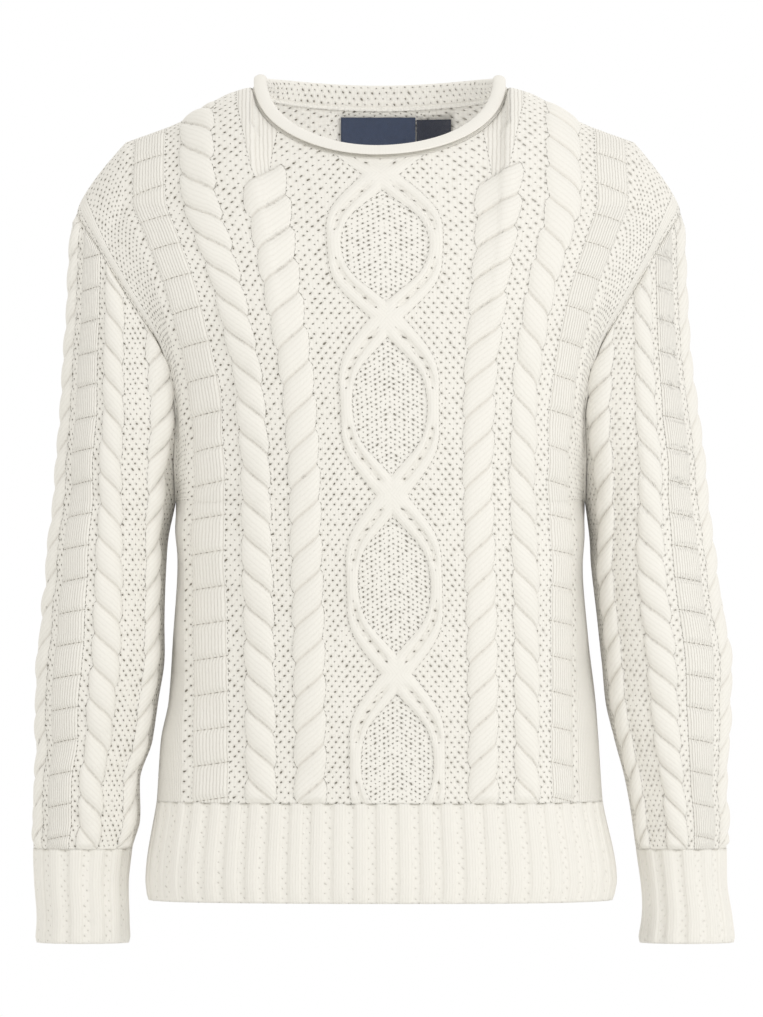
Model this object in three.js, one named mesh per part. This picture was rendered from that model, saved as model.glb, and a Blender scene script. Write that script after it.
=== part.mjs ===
// Cable knit sweater, worn form, millimetres, +Z up, front towards -Y.
// The wearer's right is on -X. Z = 0 is the base of the neck at the shoulders.
// Each cut piece is a wall of cloth with a plain inside and the cables, ladders
// and ribs raised in its outer points.
import * as THREE from "three";

// Driving sizes
const WALL = 2.6;
const GAP = 0.3;
const HEM_Z = -674;
const HEM_RIB_TOP = -591;
const UNDERARM_Z = -340;
const SHOULDER_POINT_Z = -95;
const SLEEVE_END_Z = -631;
const CUFF_END_Z = -710;
const SIDE_STRIP_START = 168;
const PANEL_EDGE = 232;
const NECK_COLUMN = 76;
const NECK = { halfWidth: 107, sideZ: 8, frontDepth: 85, backDepth: 72, frontDrop: 62, backDrop: 16 };

// How level sections round off: the power of the section's outline, its fullness on the
// body and at the shoulder, and the height over which one turns into the other
const ROUNDNESS = 2.5;
const SHOULDER_ROUNDNESS = 1.3;
const FULLNESS = { body: 0.4, shoulder: 0.75, over: 140 };
// How the depth falls back to the top edge: late on the shoulder, evenly at the neck
const FALL = { start: 2.6, shoulder: 0.5, neck: 1 };
const SHOULDER_SPREAD = 0.15;
const DRIFT_POWER = 4;

// Body outline and depth by height, below the underarm
const BODY = [
  { z: -674, right: 193, left: 194, front: 116, back: 110 },
  { z: -657, right: 194.5, left: 196.5, front: 117, back: 111 },
  { z: -591, right: 187.5, left: 187, front: 117, back: 111 },
  { z: -540, right: 184, left: 183.5, front: 118, back: 111 },
  { z: -507, right: 177.5, left: 181, front: 119, back: 111 },
  { z: -456, right: 174, left: 175, front: 122, back: 113 },
  { z: -389, right: 170, left: 170, front: 127, back: 118 },
  { z: -340, right: 171.5, left: 172, front: 130, back: 120 },
];

// Sleeve tube by height: outer edge and middle of each sleeve, and half its depth
const SLEEVE = [
  { z: -710, outerRight: 287, middleRight: 249.4, outerLeft: 295.7, middleLeft: 257.4, depth: 40 },
  { z: -691, outerRight: 286, middleRight: 249.2, outerLeft: 294, middleLeft: 257.8, depth: 40 },
  { z: -658, outerRight: 289, middleRight: 250.6, outerLeft: 290, middleLeft: 255, depth: 41 },
  { z: -631, outerRight: 291, middleRight: 249.5, outerLeft: 291, middleLeft: 253, depth: 44 },
  { z: -607, outerRight: 291.5, middleRight: 246.5, outerLeft: 292, middleLeft: 251.8, depth: 48 },
  { z: -574, outerRight: 290, middleRight: 245.8, outerLeft: 291.5, middleLeft: 248.7, depth: 53 },
  { z: -540, outerRight: 289, middleRight: 240, outerLeft: 293, middleLeft: 245, depth: 58 },
  { z: -506, outerRight: 290, middleRight: 238, outerLeft: 295.7, middleLeft: 242.4, depth: 62 },
  { z: -473, outerRight: 288, middleRight: 234.5, outerLeft: 295, middleLeft: 240.5, depth: 65 },
  { z: -439, outerRight: 285, middleRight: 233, outerLeft: 290.6, middleLeft: 236.5, depth: 67 },
  { z: -389, outerRight: 280, middleRight: 229.5, outerLeft: 282, middleLeft: 229.3, depth: 68 },
  { z: -340, outerRight: 273.5, middleRight: 222.5, outerLeft: 275, middleLeft: 223.5, depth: 68 },
  { z: -310, outerRight: 271.5, middleRight: 219, outerLeft: 272.5, middleLeft: 219.5, depth: 68 },
  { z: -267, outerRight: 268, middleRight: 211, outerLeft: 267, middleLeft: 211, depth: 68 },
  { z: -214, outerRight: 265, middleRight: 206, outerLeft: 260, middleLeft: 205, depth: 65 },
  { z: -182, outerRight: 262.5, middleRight: 204, outerLeft: 258, middleLeft: 203, depth: 62 },
  { z: -153, outerRight: 261.5, middleRight: 204, outerLeft: 256.5, middleLeft: 203, depth: 56 },
  { z: -123, outerRight: 260, middleRight: 205, outerLeft: 255.5, middleLeft: 204, depth: 45 },
  { z: -105, outerRight: 257.5, middleRight: 205, outerLeft: 254.5, middleLeft: 204, depth: 31 },
  { z: -95, outerRight: 254, middleRight: 205, outerLeft: 252, middleLeft: 204, depth: 18 },
];

// Height of the armhole seam by the angle round the sleeve, 0 at its outer side
const ARMHOLE = [
  { angle: 0, z: -95 },
  { angle: 30, z: -105 },
  { angle: 52, z: -123 },
  { angle: 73, z: -153 },
  { angle: 92, z: -182 },
  { angle: 115, z: -216 },
  { angle: 136, z: -267 },
  { angle: 155, z: -312 },
  { angle: 180, z: -340 },
];

// Shoulder line seen from the front
const SHOULDER = [
  { x: 107, z: 8 },
  { x: 124, z: 4 },
  { x: 137, z: -2 },
  { x: 167, z: -20.5 },
  { x: 190, z: -30 },
  { x: 206, z: -35.5 },
  { x: 222, z: -42 },
  { x: 232, z: -52 },
  { x: 243, z: -70 },
  { x: 254, z: -95 },
];

// Where the knitted columns lie across a panel, by height. The names give the column
// in the flat panel: lattice edge 38.6, neck column 76, outer rope 114, ladder 152.5
// and the start of the side strip 168.
const COLUMN_STATIONS = [0, 38.6, 76, 114, 152.5, 168];
const FAN = [
  { z: -674, lattice: 38.6, neck: 75, rope: 114, ladder: 151, strip: 166, drift: 15 },
  { z: -500, lattice: 38.6, neck: 75, rope: 114, ladder: 151, strip: 165, drift: 14 },
  { z: -340, lattice: 38.6, neck: 75, rope: 114, ladder: 151, strip: 163, drift: 10 },
  { z: -254, lattice: 40, neck: 78, rope: 118, ladder: 154, strip: 166, drift: 8 },
  { z: -170, lattice: 45, neck: 90, rope: 132, ladder: 170, strip: 184, drift: 5 },
  { z: -120, lattice: 50, neck: 97, rope: 148, ladder: 187, strip: 203, drift: 4 },
  { z: -86, lattice: 49, neck: 102, rope: 158, ladder: 198, strip: 215, drift: 2 },
  { z: -53, lattice: 47, neck: 106, rope: 159, ladder: 197, strip: 214, drift: 0 },
  { z: 12, lattice: 46, neck: 107, rope: 158, ladder: 196, strip: 212, drift: 0 },
];

// Knitted relief
const ROPE = { height: 4.4, pitch: 29, slant: 0.5, groove: 0.4 };
const INNER_ROPE = { from: 59, to: 86, twist: 1 };
const OUTER_ROPE = { from: 99, to: 123, twist: -1 };
const LADDER = { from: 135, to: 168, height: 2.4, pitch: 29.4, slope: 0.08 };
const LATTICE = { pitch: 148, crossing: -187, reach: 31, ridge: 8.5, height: 3.8 };
const SLEEVE_HALF = 188;
const SLEEVE_ROPES = [
  { from: 26, to: 48, twist: -1 },
  { from: 87, to: 111, twist: 1 },
  { from: 140, to: 163, twist: -1 },
];
const SLEEVE_LADDER = { from: 57, to: 87, height: 2.4, pitch: 26, slope: -0.08 };
const SLEEVE_ROPE_PITCH = 26;
const RIB_HEIGHT = 2.4;
const CUFF_SINK = 2.2;

// Sampling of the walls
const FRONT_COLUMNS = [0, 7.7, 15.4, 23.2, 30.9, 38.6, 48.7, 59, 68, 76, 86, 99, 111, 123,
  135, 152.5, 168, 200, 232];
const BACK_COLUMNS = [0, 12.9, 25.7, 38.6, 59, 68, 76, 86, 99, 111, 123, 135, 152.5, 168, 200, 232];
const SLEEVE_COLUMNS = [0, 26, 37, 48, 57, 72, 87, 95, 103, 111, 140, 151, 163, 188];
const ROWS_PER_KNOT = 3;
const ARM_KNOTS = SLEEVE_COLUMNS.length - 1;
const UPPER_ROWS = ROWS_PER_KNOT * ARM_KNOTS;
const FRONT_LOWER_ROWS = 22;
const BACK_LOWER_ROWS = 18;
const SLEEVE_ROWS = 42;
// Sleeve columns slide from the armhole's knots to their own places over this length.
// Those behind this angle start to slide only below the underarm.
const SLIDE_LENGTH = 130;
const LATE_SLIDE_ANGLE = 120;
const SLEEVE_RATIO = 0.78;

const lerp = (a, b, t) => a + (b - a) * t;
const clamp = (value, low, high) => Math.min(high, Math.max(low, value));
const smooth = (value) => {
  const t = clamp(value, 0, 1);
  return t * t * (3 - 2 * t);
};

// Smooth curve through a table, without overshoot
function curve(table, at, value) {
  const rows = [...table].sort((a, b) => a[at] - b[at]);
  const x = rows.map((row) => row[at]);
  const y = rows.map((row) => row[value]);
  const steps = x.slice(1).map((next, k) => (y[k + 1] - y[k]) / (next - x[k]));
  const slope = x.map((_, k) => {
    if (k === 0 || k === x.length - 1) return 0;
    const before = steps[k - 1];
    const after = steps[k];
    return before * after <= 0 ? 0 : (2 * before * after) / (before + after);
  });
  return (position) => {
    const p = clamp(position, x[0], x[x.length - 1]);
    let k = 0;
    while (k < x.length - 2 && p > x[k + 1]) k += 1;
    const width = x[k + 1] - x[k];
    const t = (p - x[k]) / width;
    const lift = t * t * (3 - 2 * t);
    const start = t * (1 - t) * (1 - t) * slope[k];
    const end = t * t * (t - 1) * slope[k + 1];
    return lerp(y[k], y[k + 1], lift) + width * (start + end);
  };
}

const SIDES = {
  right: {
    sign: -1,
    body: curve(BODY, "z", "right"),
    outer: curve(SLEEVE, "z", "outerRight"),
    middle: curve(SLEEVE, "z", "middleRight"),
  },
  left: {
    sign: 1,
    body: curve(BODY, "z", "left"),
    outer: curve(SLEEVE, "z", "outerLeft"),
    middle: curve(SLEEVE, "z", "middleLeft"),
  },
};
const sleeveDepth = curve(SLEEVE, "z", "depth");
const armholeZ = curve(ARMHOLE, "angle", "z");
const shoulderZ = curve(SHOULDER, "x", "z");
const drift = curve(FAN, "z", "drift");
const fan = ["lattice", "neck", "rope", "ladder", "strip"].map((name) => curve(FAN, "z", name));
const bodyDepth = { front: curve(BODY, "z", "front"), back: curve(BODY, "z", "back") };

// A point of the sleeve tube: an ellipse at height z, angle 0 on its outer side
function tubePoint(side, degrees, z) {
  const angle = THREE.MathUtils.degToRad(degrees);
  const half = side.outer(z) - side.middle(z);
  const x = side.middle(z) + half * Math.cos(angle);
  return new THREE.Vector3(side.sign * x, -sleeveDepth(z) * Math.sin(angle), z);
}

// Angles of the armhole knots, evenly spaced along the seam from underarm to shoulder
function armholeAngles(side) {
  const count = 360;
  const points = [];
  for (let k = 0; k <= count; k += 1) {
    const degrees = 180 - (180 * k) / count;
    points.push(tubePoint(side, degrees, armholeZ(degrees)));
  }
  const lengths = [0];
  for (let k = 1; k <= count; k += 1) {
    lengths.push(lengths[k - 1] + points[k].distanceTo(points[k - 1]));
  }
  const angles = [];
  for (let knot = 0; knot <= ARM_KNOTS; knot += 1) {
    const target = (lengths[count] * knot) / ARM_KNOTS;
    const k = Math.max(1, lengths.findIndex((length) => length >= target - 1e-9));
    const t = (target - lengths[k - 1]) / (lengths[k] - lengths[k - 1]);
    angles.push(180 - (180 * (k - 1 + t)) / count);
  }
  return angles;
}

for (const side of Object.values(SIDES)) {
  side.knotAngles = armholeAngles(side);
  side.knots = side.knotAngles.map((degrees) => tubePoint(side, degrees, armholeZ(degrees)));
}

// The armhole seam at an upper row, on straight runs between its knots
function armholePoint(side, row) {
  const knot = Math.min(ARM_KNOTS - 1, Math.floor(row / ROWS_PER_KNOT));
  return side.knots[knot].clone().lerp(side.knots[knot + 1], row / ROWS_PER_KNOT - knot);
}

// Half width and depth of the body's edge at a height
function edgeAt(side, z) {
  if (z <= UNDERARM_Z) return { x: side.body(z), depth: 0 };
  if (z >= SHOULDER_POINT_Z) {
    const top = side.knots[ARM_KNOTS];
    return { x: Math.abs(top.x) + SHOULDER_SPREAD * (z - SHOULDER_POINT_Z), depth: 0 };
  }
  let low = 0;
  while (side.knots[low + 1].z < z) low += 1;
  const from = side.knots[low];
  const to = side.knots[low + 1];
  const t = (z - from.z) / (to.z - from.z);
  return { x: Math.abs(lerp(from.x, to.x, t)), depth: -lerp(from.y, to.y, t) };
}

// Half width of a panel column at a height, before the middle drifts
function columnX(column, z) {
  const stations = [0, ...fan.map((station) => station(z))];
  let k = 0;
  while (k < COLUMN_STATIONS.length - 2 && column > COLUMN_STATIONS[k + 1]) k += 1;
  const t = (column - COLUMN_STATIONS[k]) / (COLUMN_STATIONS[k + 1] - COLUMN_STATIONS[k]);
  return lerp(stations[k], stations[k + 1], t);
}

// Height of the top edge over a half width: the neckline, then the shoulder line
function topZ(face, x) {
  if (x >= NECK.halfWidth) return shoulderZ(x);
  const drop = face === "front" ? NECK.frontDrop : NECK.backDrop;
  return NECK.sideZ - drop * Math.sqrt(1 - (x / NECK.halfWidth) ** 2);
}

// Fullness of a level section, from 1 in the middle to 0 at the edge
function fullness(share, z) {
  const power = lerp(FULLNESS.body, FULLNESS.shoulder, smooth((z - UNDERARM_Z) / FULLNESS.over));
  return Math.max(0, 1 - Math.min(1, share) ** ROUNDNESS) ** power;
}

// Height where a column meets the top edge
function columnTop(face, column) {
  let low = UNDERARM_Z;
  let high = NECK.sideZ;
  for (let pass = 0; pass < 40; pass += 1) {
    const z = (low + high) / 2;
    if (z < topZ(face, columnX(column, z))) low = z;
    else high = z;
  }
  return low;
}

// Plain face of a panel at a column up to the side strip, at height z
function facePoint(face, side, column, z, top) {
  const x = columnX(column, z);
  const edge = edgeAt(side, z);
  const full = fullness(x / edge.x, z);
  let middle = bodyDepth[face](z);
  if (z > UNDERARM_Z) {
    const topX = columnX(column, top);
    const neckDepth = face === "front" ? NECK.frontDepth : NECK.backDepth;
    const neckShare = Math.sqrt(Math.max(0, 1 - (topX / NECK.halfWidth) ** 2));
    const topDepth = (neckDepth * neckShare) / fullness(topX / edgeAt(side, top).x, top);
    const rise = clamp((z - UNDERARM_Z) / (top - UNDERARM_Z), 0, 1);
    const fall = (1 - rise ** FALL.start) ** lerp(FALL.shoulder, FALL.neck, neckShare);
    middle = lerp(topDepth, bodyDepth[face](UNDERARM_Z), fall);
  }
  const depth = GAP / 2 + lerp(edge.depth, middle, full);
  const sway = drift(z) * (1 - (column / SIDE_STRIP_START) ** DRIFT_POWER);
  return new THREE.Vector3(side.sign * x + sway, face === "front" ? -depth : depth, z);
}

// Rows of one column above the underarm, evenly spaced along the cloth
function upperColumn(face, side, column) {
  const top = columnTop(face, column);
  const count = 120;
  const points = [];
  for (let k = 0; k <= count; k += 1) {
    const z = lerp(UNDERARM_Z, top, Math.sin((Math.PI / 2) * (k / count)));
    points.push(facePoint(face, side, column, z, top));
  }
  const lengths = [0];
  for (let k = 1; k <= count; k += 1) {
    lengths.push(lengths[k - 1] + points[k].distanceTo(points[k - 1]));
  }
  const rows = [];
  for (let row = 0; row <= UPPER_ROWS; row += 1) {
    const target = (lengths[count] * row) / UPPER_ROWS;
    let k = 1;
    while (k < count && lengths[k] < target) k += 1;
    const t = (target - lengths[k - 1]) / (lengths[k] - lengths[k - 1]);
    rows.push({ point: points[k - 1].clone().lerp(points[k], t), course: UNDERARM_Z + target });
  }
  return rows;
}

// All points of a panel's plain face, row by row from the rib to the top edge
function panelFace(face, columns, lowerRows) {
  const signed = [...columns.slice(1).reverse().map((c) => -c), ...columns];
  const bottom = HEM_RIB_TOP + GAP / 2;
  const strip = { right: null, left: null };
  for (const name of Object.keys(SIDES)) {
    strip[name] = upperColumn(face, SIDES[name], SIDE_STRIP_START);
  }
  const grid = [];
  for (let row = 0; row <= lowerRows + UPPER_ROWS; row += 1) grid.push([]);
  for (const column of signed) {
    const name = column < 0 ? "right" : "left";
    const side = SIDES[name];
    const place = Math.abs(column);
    const across = clamp((place - SIDE_STRIP_START) / (PANEL_EDGE - SIDE_STRIP_START), 0, 1);
    const upper = place <= SIDE_STRIP_START ? upperColumn(face, side, place) : null;
    for (let row = 0; row < lowerRows; row += 1) {
      const z = lerp(bottom, UNDERARM_Z, row / lowerRows);
      const inner = facePoint(face, side, Math.min(place, SIDE_STRIP_START), z, 0);
      const edge = new THREE.Vector3(side.sign * edgeAt(side, z).x, seamY(face), z);
      grid[row].push({ point: roundTheSide(inner, edge, across, 0), course: z, column });
    }
    for (let row = 0; row <= UPPER_ROWS; row += 1) {
      const target = grid[lowerRows + row];
      if (upper) {
        target.push({ ...upper[row], column });
      } else {
        const inner = strip[name][row];
        const edge = armholePoint(side, row);
        edge.y = face === "front" ? edge.y - GAP / 2 : -edge.y + GAP / 2;
        const ease = smooth(row / UPPER_ROWS);
        target.push({
          point: roundTheSide(inner.point, edge, across, ease),
          course: inner.course,
          column,
        });
      }
    }
  }
  return grid;
}

const seamY = (face) => (face === "front" ? -GAP / 2 : GAP / 2);

// The side strip curves from the panel's face round to its edge
function roundTheSide(inner, edge, across, ease) {
  const bend = 1 - (1 - across) ** lerp(ROUNDNESS, SHOULDER_ROUNDNESS, ease);
  return new THREE.Vector3(
    lerp(inner.x, edge.x, bend),
    lerp(inner.y, edge.y, across),
    lerp(inner.z, edge.z, across),
  );
}

// Raised knitting
function ropeHeight(offset, course, pitch, twist) {
  if (Math.abs(offset) >= 1) return 0;
  const lobe = Math.abs(Math.sin(Math.PI * (course / pitch - twist * ROPE.slant * offset)));
  return ROPE.height * Math.sqrt(1 - offset * offset) * lerp(ROPE.groove, 1, lobe);
}

function ladderHeight(offset, course, ladder) {
  if (Math.abs(offset) >= 1) return 0;
  const block = Math.abs(Math.sin(Math.PI * (course / ladder.pitch + ladder.slope * offset)));
  return ladder.height * (1 - offset ** 4) * Math.sqrt(block);
}

function latticeHeight(column, course) {
  const turns = (course - LATTICE.crossing) / LATTICE.pitch;
  const swing = Math.abs(2 * (turns - Math.floor(turns + 0.5)));
  const away = Math.abs(Math.abs(column) - LATTICE.reach * swing);
  return away >= LATTICE.ridge ? 0 : LATTICE.height * Math.cos((Math.PI / 2) * (away / LATTICE.ridge));
}

function between(place, band) {
  const middle = (band.from + band.to) / 2;
  return (place - middle) / ((band.to - band.from) / 2);
}

function bodyRelief(column, course) {
  const place = Math.abs(column);
  const hand = Math.sign(column);
  return Math.max(
    latticeHeight(column, course),
    ropeHeight(between(place, INNER_ROPE), course, ROPE.pitch, hand * INNER_ROPE.twist),
    ropeHeight(between(place, OUTER_ROPE), course, ROPE.pitch, hand * OUTER_ROPE.twist),
    ladderHeight(between(place, LADDER), course, LADDER),
  );
}

function sleeveRelief(place, course) {
  const around = Math.abs(place);
  let height = ladderHeight(between(around, SLEEVE_LADDER), course, SLEEVE_LADDER);
  for (const rope of SLEEVE_ROPES) {
    height = Math.max(height, ropeHeight(between(around, rope), course, SLEEVE_ROPE_PITCH, rope.twist));
  }
  return height;
}

// Closed solid built from rings and grids of points
class Solid {
  constructor() {
    this.points = [];
    this.faces = [];
  }

  grid(rows) {
    return rows.map((row) => row.map((point) => this.points.push(point) - 1));
  }

  // Two triangles on the shorter diagonal, so that facing rims fold alike
  quad(a, b, c, d) {
    const [pa, pb, pc, pd] = [a, b, c, d].map((index) => this.points[index]);
    if (pa.distanceTo(pc) <= pb.distanceTo(pd)) this.faces.push([a, b, c], [a, c, d]);
    else this.faces.push([a, b, d], [b, c, d]);
  }

  sheet(rows, closed, flipped) {
    for (let i = 0; i + 1 < rows.length; i += 1) {
      const width = rows[i].length;
      for (let j = 0; j < (closed ? width : width - 1); j += 1) {
        const next = (j + 1) % width;
        const corners = [rows[i][j], rows[i][next], rows[i + 1][next], rows[i + 1][j]];
        if (flipped) corners.reverse();
        this.quad(...corners);
      }
    }
  }

  // Strip between two closed loops with the same number of points
  rim(outer, inner) {
    for (let k = 0; k < outer.length; k += 1) {
      const next = (k + 1) % outer.length;
      this.quad(outer[next], outer[k], inner[k], inner[next]);
    }
  }

  // Strip between a fine closed loop and a coarse one, each point with its place on the loop
  zip(fine, coarse) {
    const end = 4;
    const placeOf = (loop, k) => (k < loop.length ? loop[k].place : end);
    const indexOf = (loop, k) => loop[k % loop.length].index;
    let i = 0;
    let k = 0;
    while (i < fine.length || k < coarse.length) {
      const fineNext = i < fine.length ? placeOf(fine, i + 1) : Infinity;
      const coarseNext = k < coarse.length ? placeOf(coarse, k + 1) : Infinity;
      if (fineNext <= coarseNext) {
        this.faces.push([indexOf(fine, i + 1), indexOf(fine, i), indexOf(coarse, k)]);
        i += 1;
      } else {
        this.faces.push([indexOf(fine, i), indexOf(coarse, k), indexOf(coarse, k + 1)]);
        k += 1;
      }
    }
  }

  mesh(name, material) {
    let volume = 0;
    for (const [a, b, c] of this.faces) {
      const cross = this.points[b].clone().cross(this.points[c]);
      volume += this.points[a].dot(cross);
    }
    const faces = volume < 0 ? this.faces.map(([a, b, c]) => [a, c, b]) : this.faces;
    const geometry = new THREE.BufferGeometry().setFromPoints(this.points);
    geometry.setIndex(faces.flat());
    geometry.computeVertexNormals();
    const mesh = new THREE.Mesh(geometry, material);
    mesh.name = name;
    return mesh;
  }
}

// Outline of a grid of indices as a loop, with the place of each point along it
function outlineOf(rows) {
  const last = rows.length - 1;
  const width = rows[0].length - 1;
  const loop = [];
  for (let j = 0; j < width; j += 1) loop.push({ index: rows[0][j], place: j / width });
  for (let i = 0; i < last; i += 1) loop.push({ index: rows[i][width], place: 1 + i / last });
  for (let j = width; j > 0; j -= 1) loop.push({ index: rows[last][j], place: 3 - j / width });
  for (let i = last; i > 0; i -= 1) loop.push({ index: rows[i][0], place: 4 - i / last });
  return loop;
}

// Edge loop of a tube's end
function endOf(row, reversed) {
  const count = row.length;
  const order = row.map((_, k) => (reversed ? (count - k) % count : k));
  return order.map((j, k) => ({ index: row[j], place: (4 * k) / count }));
}

const pick = (rows, rowPicks, columnPicks) => rowPicks.map((i) => columnPicks.map((j) => rows[i][j]));

// Evenly spread picks from first to last
function spread(first, last, count) {
  const picks = [];
  for (let k = 0; k <= count; k += 1) picks.push(Math.round(lerp(first, last, k / count)));
  return [...new Set(picks)];
}

// Wall of an open panel: fine outside, coarse plain inside, full rims
function panelSolid(outer, inner, insideRows, insideColumns) {
  const solid = new Solid();
  const out = solid.grid(outer);
  solid.sheet(out, false, false);
  const last = inner.length - 1;
  const width = inner[0].length - 1;
  const edge = inner.map((row, i) => row.map((point, j) => {
    const onEdge = i === 0 || i === last || j === 0 || j === width;
    return onEdge ? solid.points.push(point) - 1 : -1;
  }));
  const outLoop = outlineOf(out);
  const inLoop = outlineOf(edge);
  solid.rim(outLoop.map((p) => p.index), inLoop.map((p) => p.index));
  const coarse = solid.grid(pick(inner, insideRows, insideColumns));
  solid.zip(inLoop, outlineOf(coarse));
  solid.sheet(coarse, false, true);
  return solid;
}

// Wall of a tube, closed round its columns
function tubeSolid(outer, inner, insideRows, insideColumns) {
  const solid = new Solid();
  const out = solid.grid(outer);
  solid.sheet(out, true, false);
  const last = inner.length - 1;
  const coarse = solid.grid(pick(inner, insideRows, insideColumns));
  const ends = [[0, false, coarse[0]], [last, true, coarse[coarse.length - 1]]];
  for (const [row, reversed, inside] of ends) {
    const edge = solid.grid([inner[row]])[0];
    const outLoop = endOf(out[row], reversed);
    const inLoop = endOf(edge, reversed);
    solid.rim(outLoop.map((p) => p.index), inLoop.map((p) => p.index));
    solid.zip(inLoop, endOf(inside, reversed));
  }
  solid.sheet(coarse, true, true);
  return solid;
}

// Outward normals of a grid of points; outward points away from the given middle line
function normalsOf(grid, closed, outwardOf) {
  const rows = grid.length;
  const width = grid[0].length;
  return grid.map((row, i) => row.map((point, j) => {
    const up = grid[Math.min(i + 1, rows - 1)][j].clone().sub(grid[Math.max(i - 1, 0)][j]);
    const right = closed ? (j + 1) % width : Math.min(j + 1, width - 1);
    const left = closed ? (j - 1 + width) % width : Math.max(j - 1, 0);
    const across = grid[i][right].clone().sub(grid[i][left]);
    const normal = across.cross(up).normalize();
    if (normal.dot(outwardOf(point)) < 0) normal.negate();
    return normal;
  }));
}

const flatten = (normal, axis) => {
  normal[axis] = 0;
  return normal.normalize();
};

// Roughly outward from the middle of the chest, enough to tell a normal's two senses apart
const CHEST_Z = -300;
const OUTWARD = { y: 1.4, z: 0.4 };
const awayFromBody = (point) => (
  new THREE.Vector3(point.x, point.y * OUTWARD.y, (point.z - CHEST_Z) * OUTWARD.z)
);

// Sleeve points: columns slide from the armhole knots to their own places
const ellipseArc = (() => {
  const count = 180;
  const lengths = [0];
  for (let k = 1; k <= count; k += 1) {
    const angle = THREE.MathUtils.degToRad(k - 0.5);
    lengths.push(lengths[k - 1] + Math.hypot(SLEEVE_RATIO * Math.sin(angle), Math.cos(angle)));
  }
  return lengths.map((length) => (SLEEVE_HALF * length) / lengths[count]);
})();
const arcTable = ellipseArc.map((place, angle) => ({ place, angle }));
const angleOfPlace = curve(arcTable, "place", "angle");
const placeOfAngle = curve(arcTable, "angle", "place");

function sleeveFace(side) {
  const around = [];
  for (let k = 0; k <= ARM_KNOTS; k += 1) {
    around.push({ place: SLEEVE_COLUMNS[k], knot: side.knotAngles[ARM_KNOTS - k], face: 1 });
  }
  for (let k = ARM_KNOTS - 1; k > 0; k -= 1) {
    around.push({ place: SLEEVE_COLUMNS[k], knot: side.knotAngles[ARM_KNOTS - k], face: -1 });
  }
  const end = SLEEVE_END_Z + GAP / 2;
  const grid = [];
  for (let row = 0; row <= SLEEVE_ROWS; row += 1) {
    const down = row / SLEEVE_ROWS;
    grid.push(around.map(({ place, knot, face }) => {
      const z = lerp(armholeZ(knot), end, down);
      const slideFrom = knot < LATE_SLIDE_ANGLE ? armholeZ(knot) : UNDERARM_Z;
      const degrees = lerp(knot, angleOfPlace(place), smooth((slideFrom - z) / SLIDE_LENGTH));
      const point = tubePoint(side, degrees, z);
      point.y *= face;
      return { point, place: placeOfAngle(degrees), course: z };
    }));
  }
  return grid;
}

for (const side of Object.values(SIDES)) side.sleeve = sleeveFace(side);

// Direction across the armhole seam from body to sleeve, at each knot of one panel
function seamDirections(side, grid, lowerRows, edgeColumn, nextColumn, face) {
  const directions = [];
  for (let knot = 0; knot <= ARM_KNOTS; knot += 1) {
    const row = lowerRows + knot * ROWS_PER_KNOT;
    const edge = grid[row][edgeColumn].point;
    const intoBody = grid[row][nextColumn].point.clone().sub(edge).normalize();
    const count = side.sleeve[0].length;
    const column = face === "front" ? ARM_KNOTS - knot : (count - (ARM_KNOTS - knot)) % count;
    const start = side.sleeve[0][column].point;
    const intoSleeve = side.sleeve[1][column].point.clone().sub(start).normalize();
    directions.push(intoSleeve.sub(intoBody).normalize());
  }
  return directions;
}

// Keeps a point on its own side of the seam, a clearance away
function keepClear(point, seam, direction, sense, clearance) {
  const away = point.clone().sub(seam).dot(direction) * sense;
  if (away < clearance) point.addScaledVector(direction, sense * (clearance - away));
}

const RELIEF_NEAR_EDGE = [0, 0.6];
// The inside of a wall is plain, so it has this many rows and columns of faces
const INSIDE = { rows: 12, columns: 10, cuffColumns: 8 };

function panel(face, columns, lowerRows) {
  const grid = panelFace(face, columns, lowerRows);
  const points = grid.map((row) => row.map((cell) => cell.point));
  const normals = normalsOf(points, false, awayFromBody);
  const lastRow = points.length - 1;
  const lastColumn = points[0].length - 1;
  const edges = [
    { side: SIDES.right, column: 0, next: 1 },
    { side: SIDES.left, column: lastColumn, next: lastColumn - 1 },
  ];
  normals[0].forEach((normal) => flatten(normal, "z"));
  normals[lastRow].forEach((normal, j) => {
    if (Math.abs(grid[lastRow][j].column) > NECK_COLUMN) flatten(normal, "y");
  });
  for (const { column } of edges) {
    for (let row = 0; row <= lowerRows; row += 1) flatten(normals[row][column], "y");
  }
  const outer = points.map((row, i) => row.map((point, j) => {
    const steps = Math.min(i, lastRow - i, j, lastColumn - j);
    const share = steps < RELIEF_NEAR_EDGE.length ? RELIEF_NEAR_EDGE[steps] : 1;
    const cell = grid[i][j];
    const height = share * bodyRelief(cell.column, cell.course);
    return point.clone().addScaledVector(normals[i][j], height);
  }));
  const inner = points.map((row, i) => row.map((point, j) => (
    point.clone().addScaledVector(normals[i][j], -WALL)
  )));
  for (const { side, column, next } of edges) {
    const directions = seamDirections(side, grid, lowerRows, column, next, face);
    side.seams = { ...side.seams, [face]: directions };
    for (let row = 0; row <= UPPER_ROWS; row += 1) {
      const knot = Math.min(ARM_KNOTS - 1, Math.floor(row / ROWS_PER_KNOT));
      const t = row / ROWS_PER_KNOT - knot;
      const direction = directions[knot].clone().lerp(directions[knot + 1], t).normalize();
      const seam = points[lowerRows + row][column].clone();
      keepClear(outer[lowerRows + row][column], seam, direction, -1, GAP / 2);
      keepClear(inner[lowerRows + row][column], seam, direction, -1, GAP);
    }
  }
  return { outer, inner, grid, lastRow, lastColumn };
}

const ivory = (name) => new THREE.MeshStandardMaterial({
  name, color: 0xece6d8, roughness: 0.95, metalness: 0, side: THREE.FrontSide,
});
const navy = new THREE.MeshStandardMaterial({ color: 0x1d2440, roughness: 0.85, metalness: 0 });
const darkNavy = new THREE.MeshStandardMaterial({ color: 0x161b30, roughness: 0.85, metalness: 0 });

const sweater = new THREE.Group();

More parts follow.
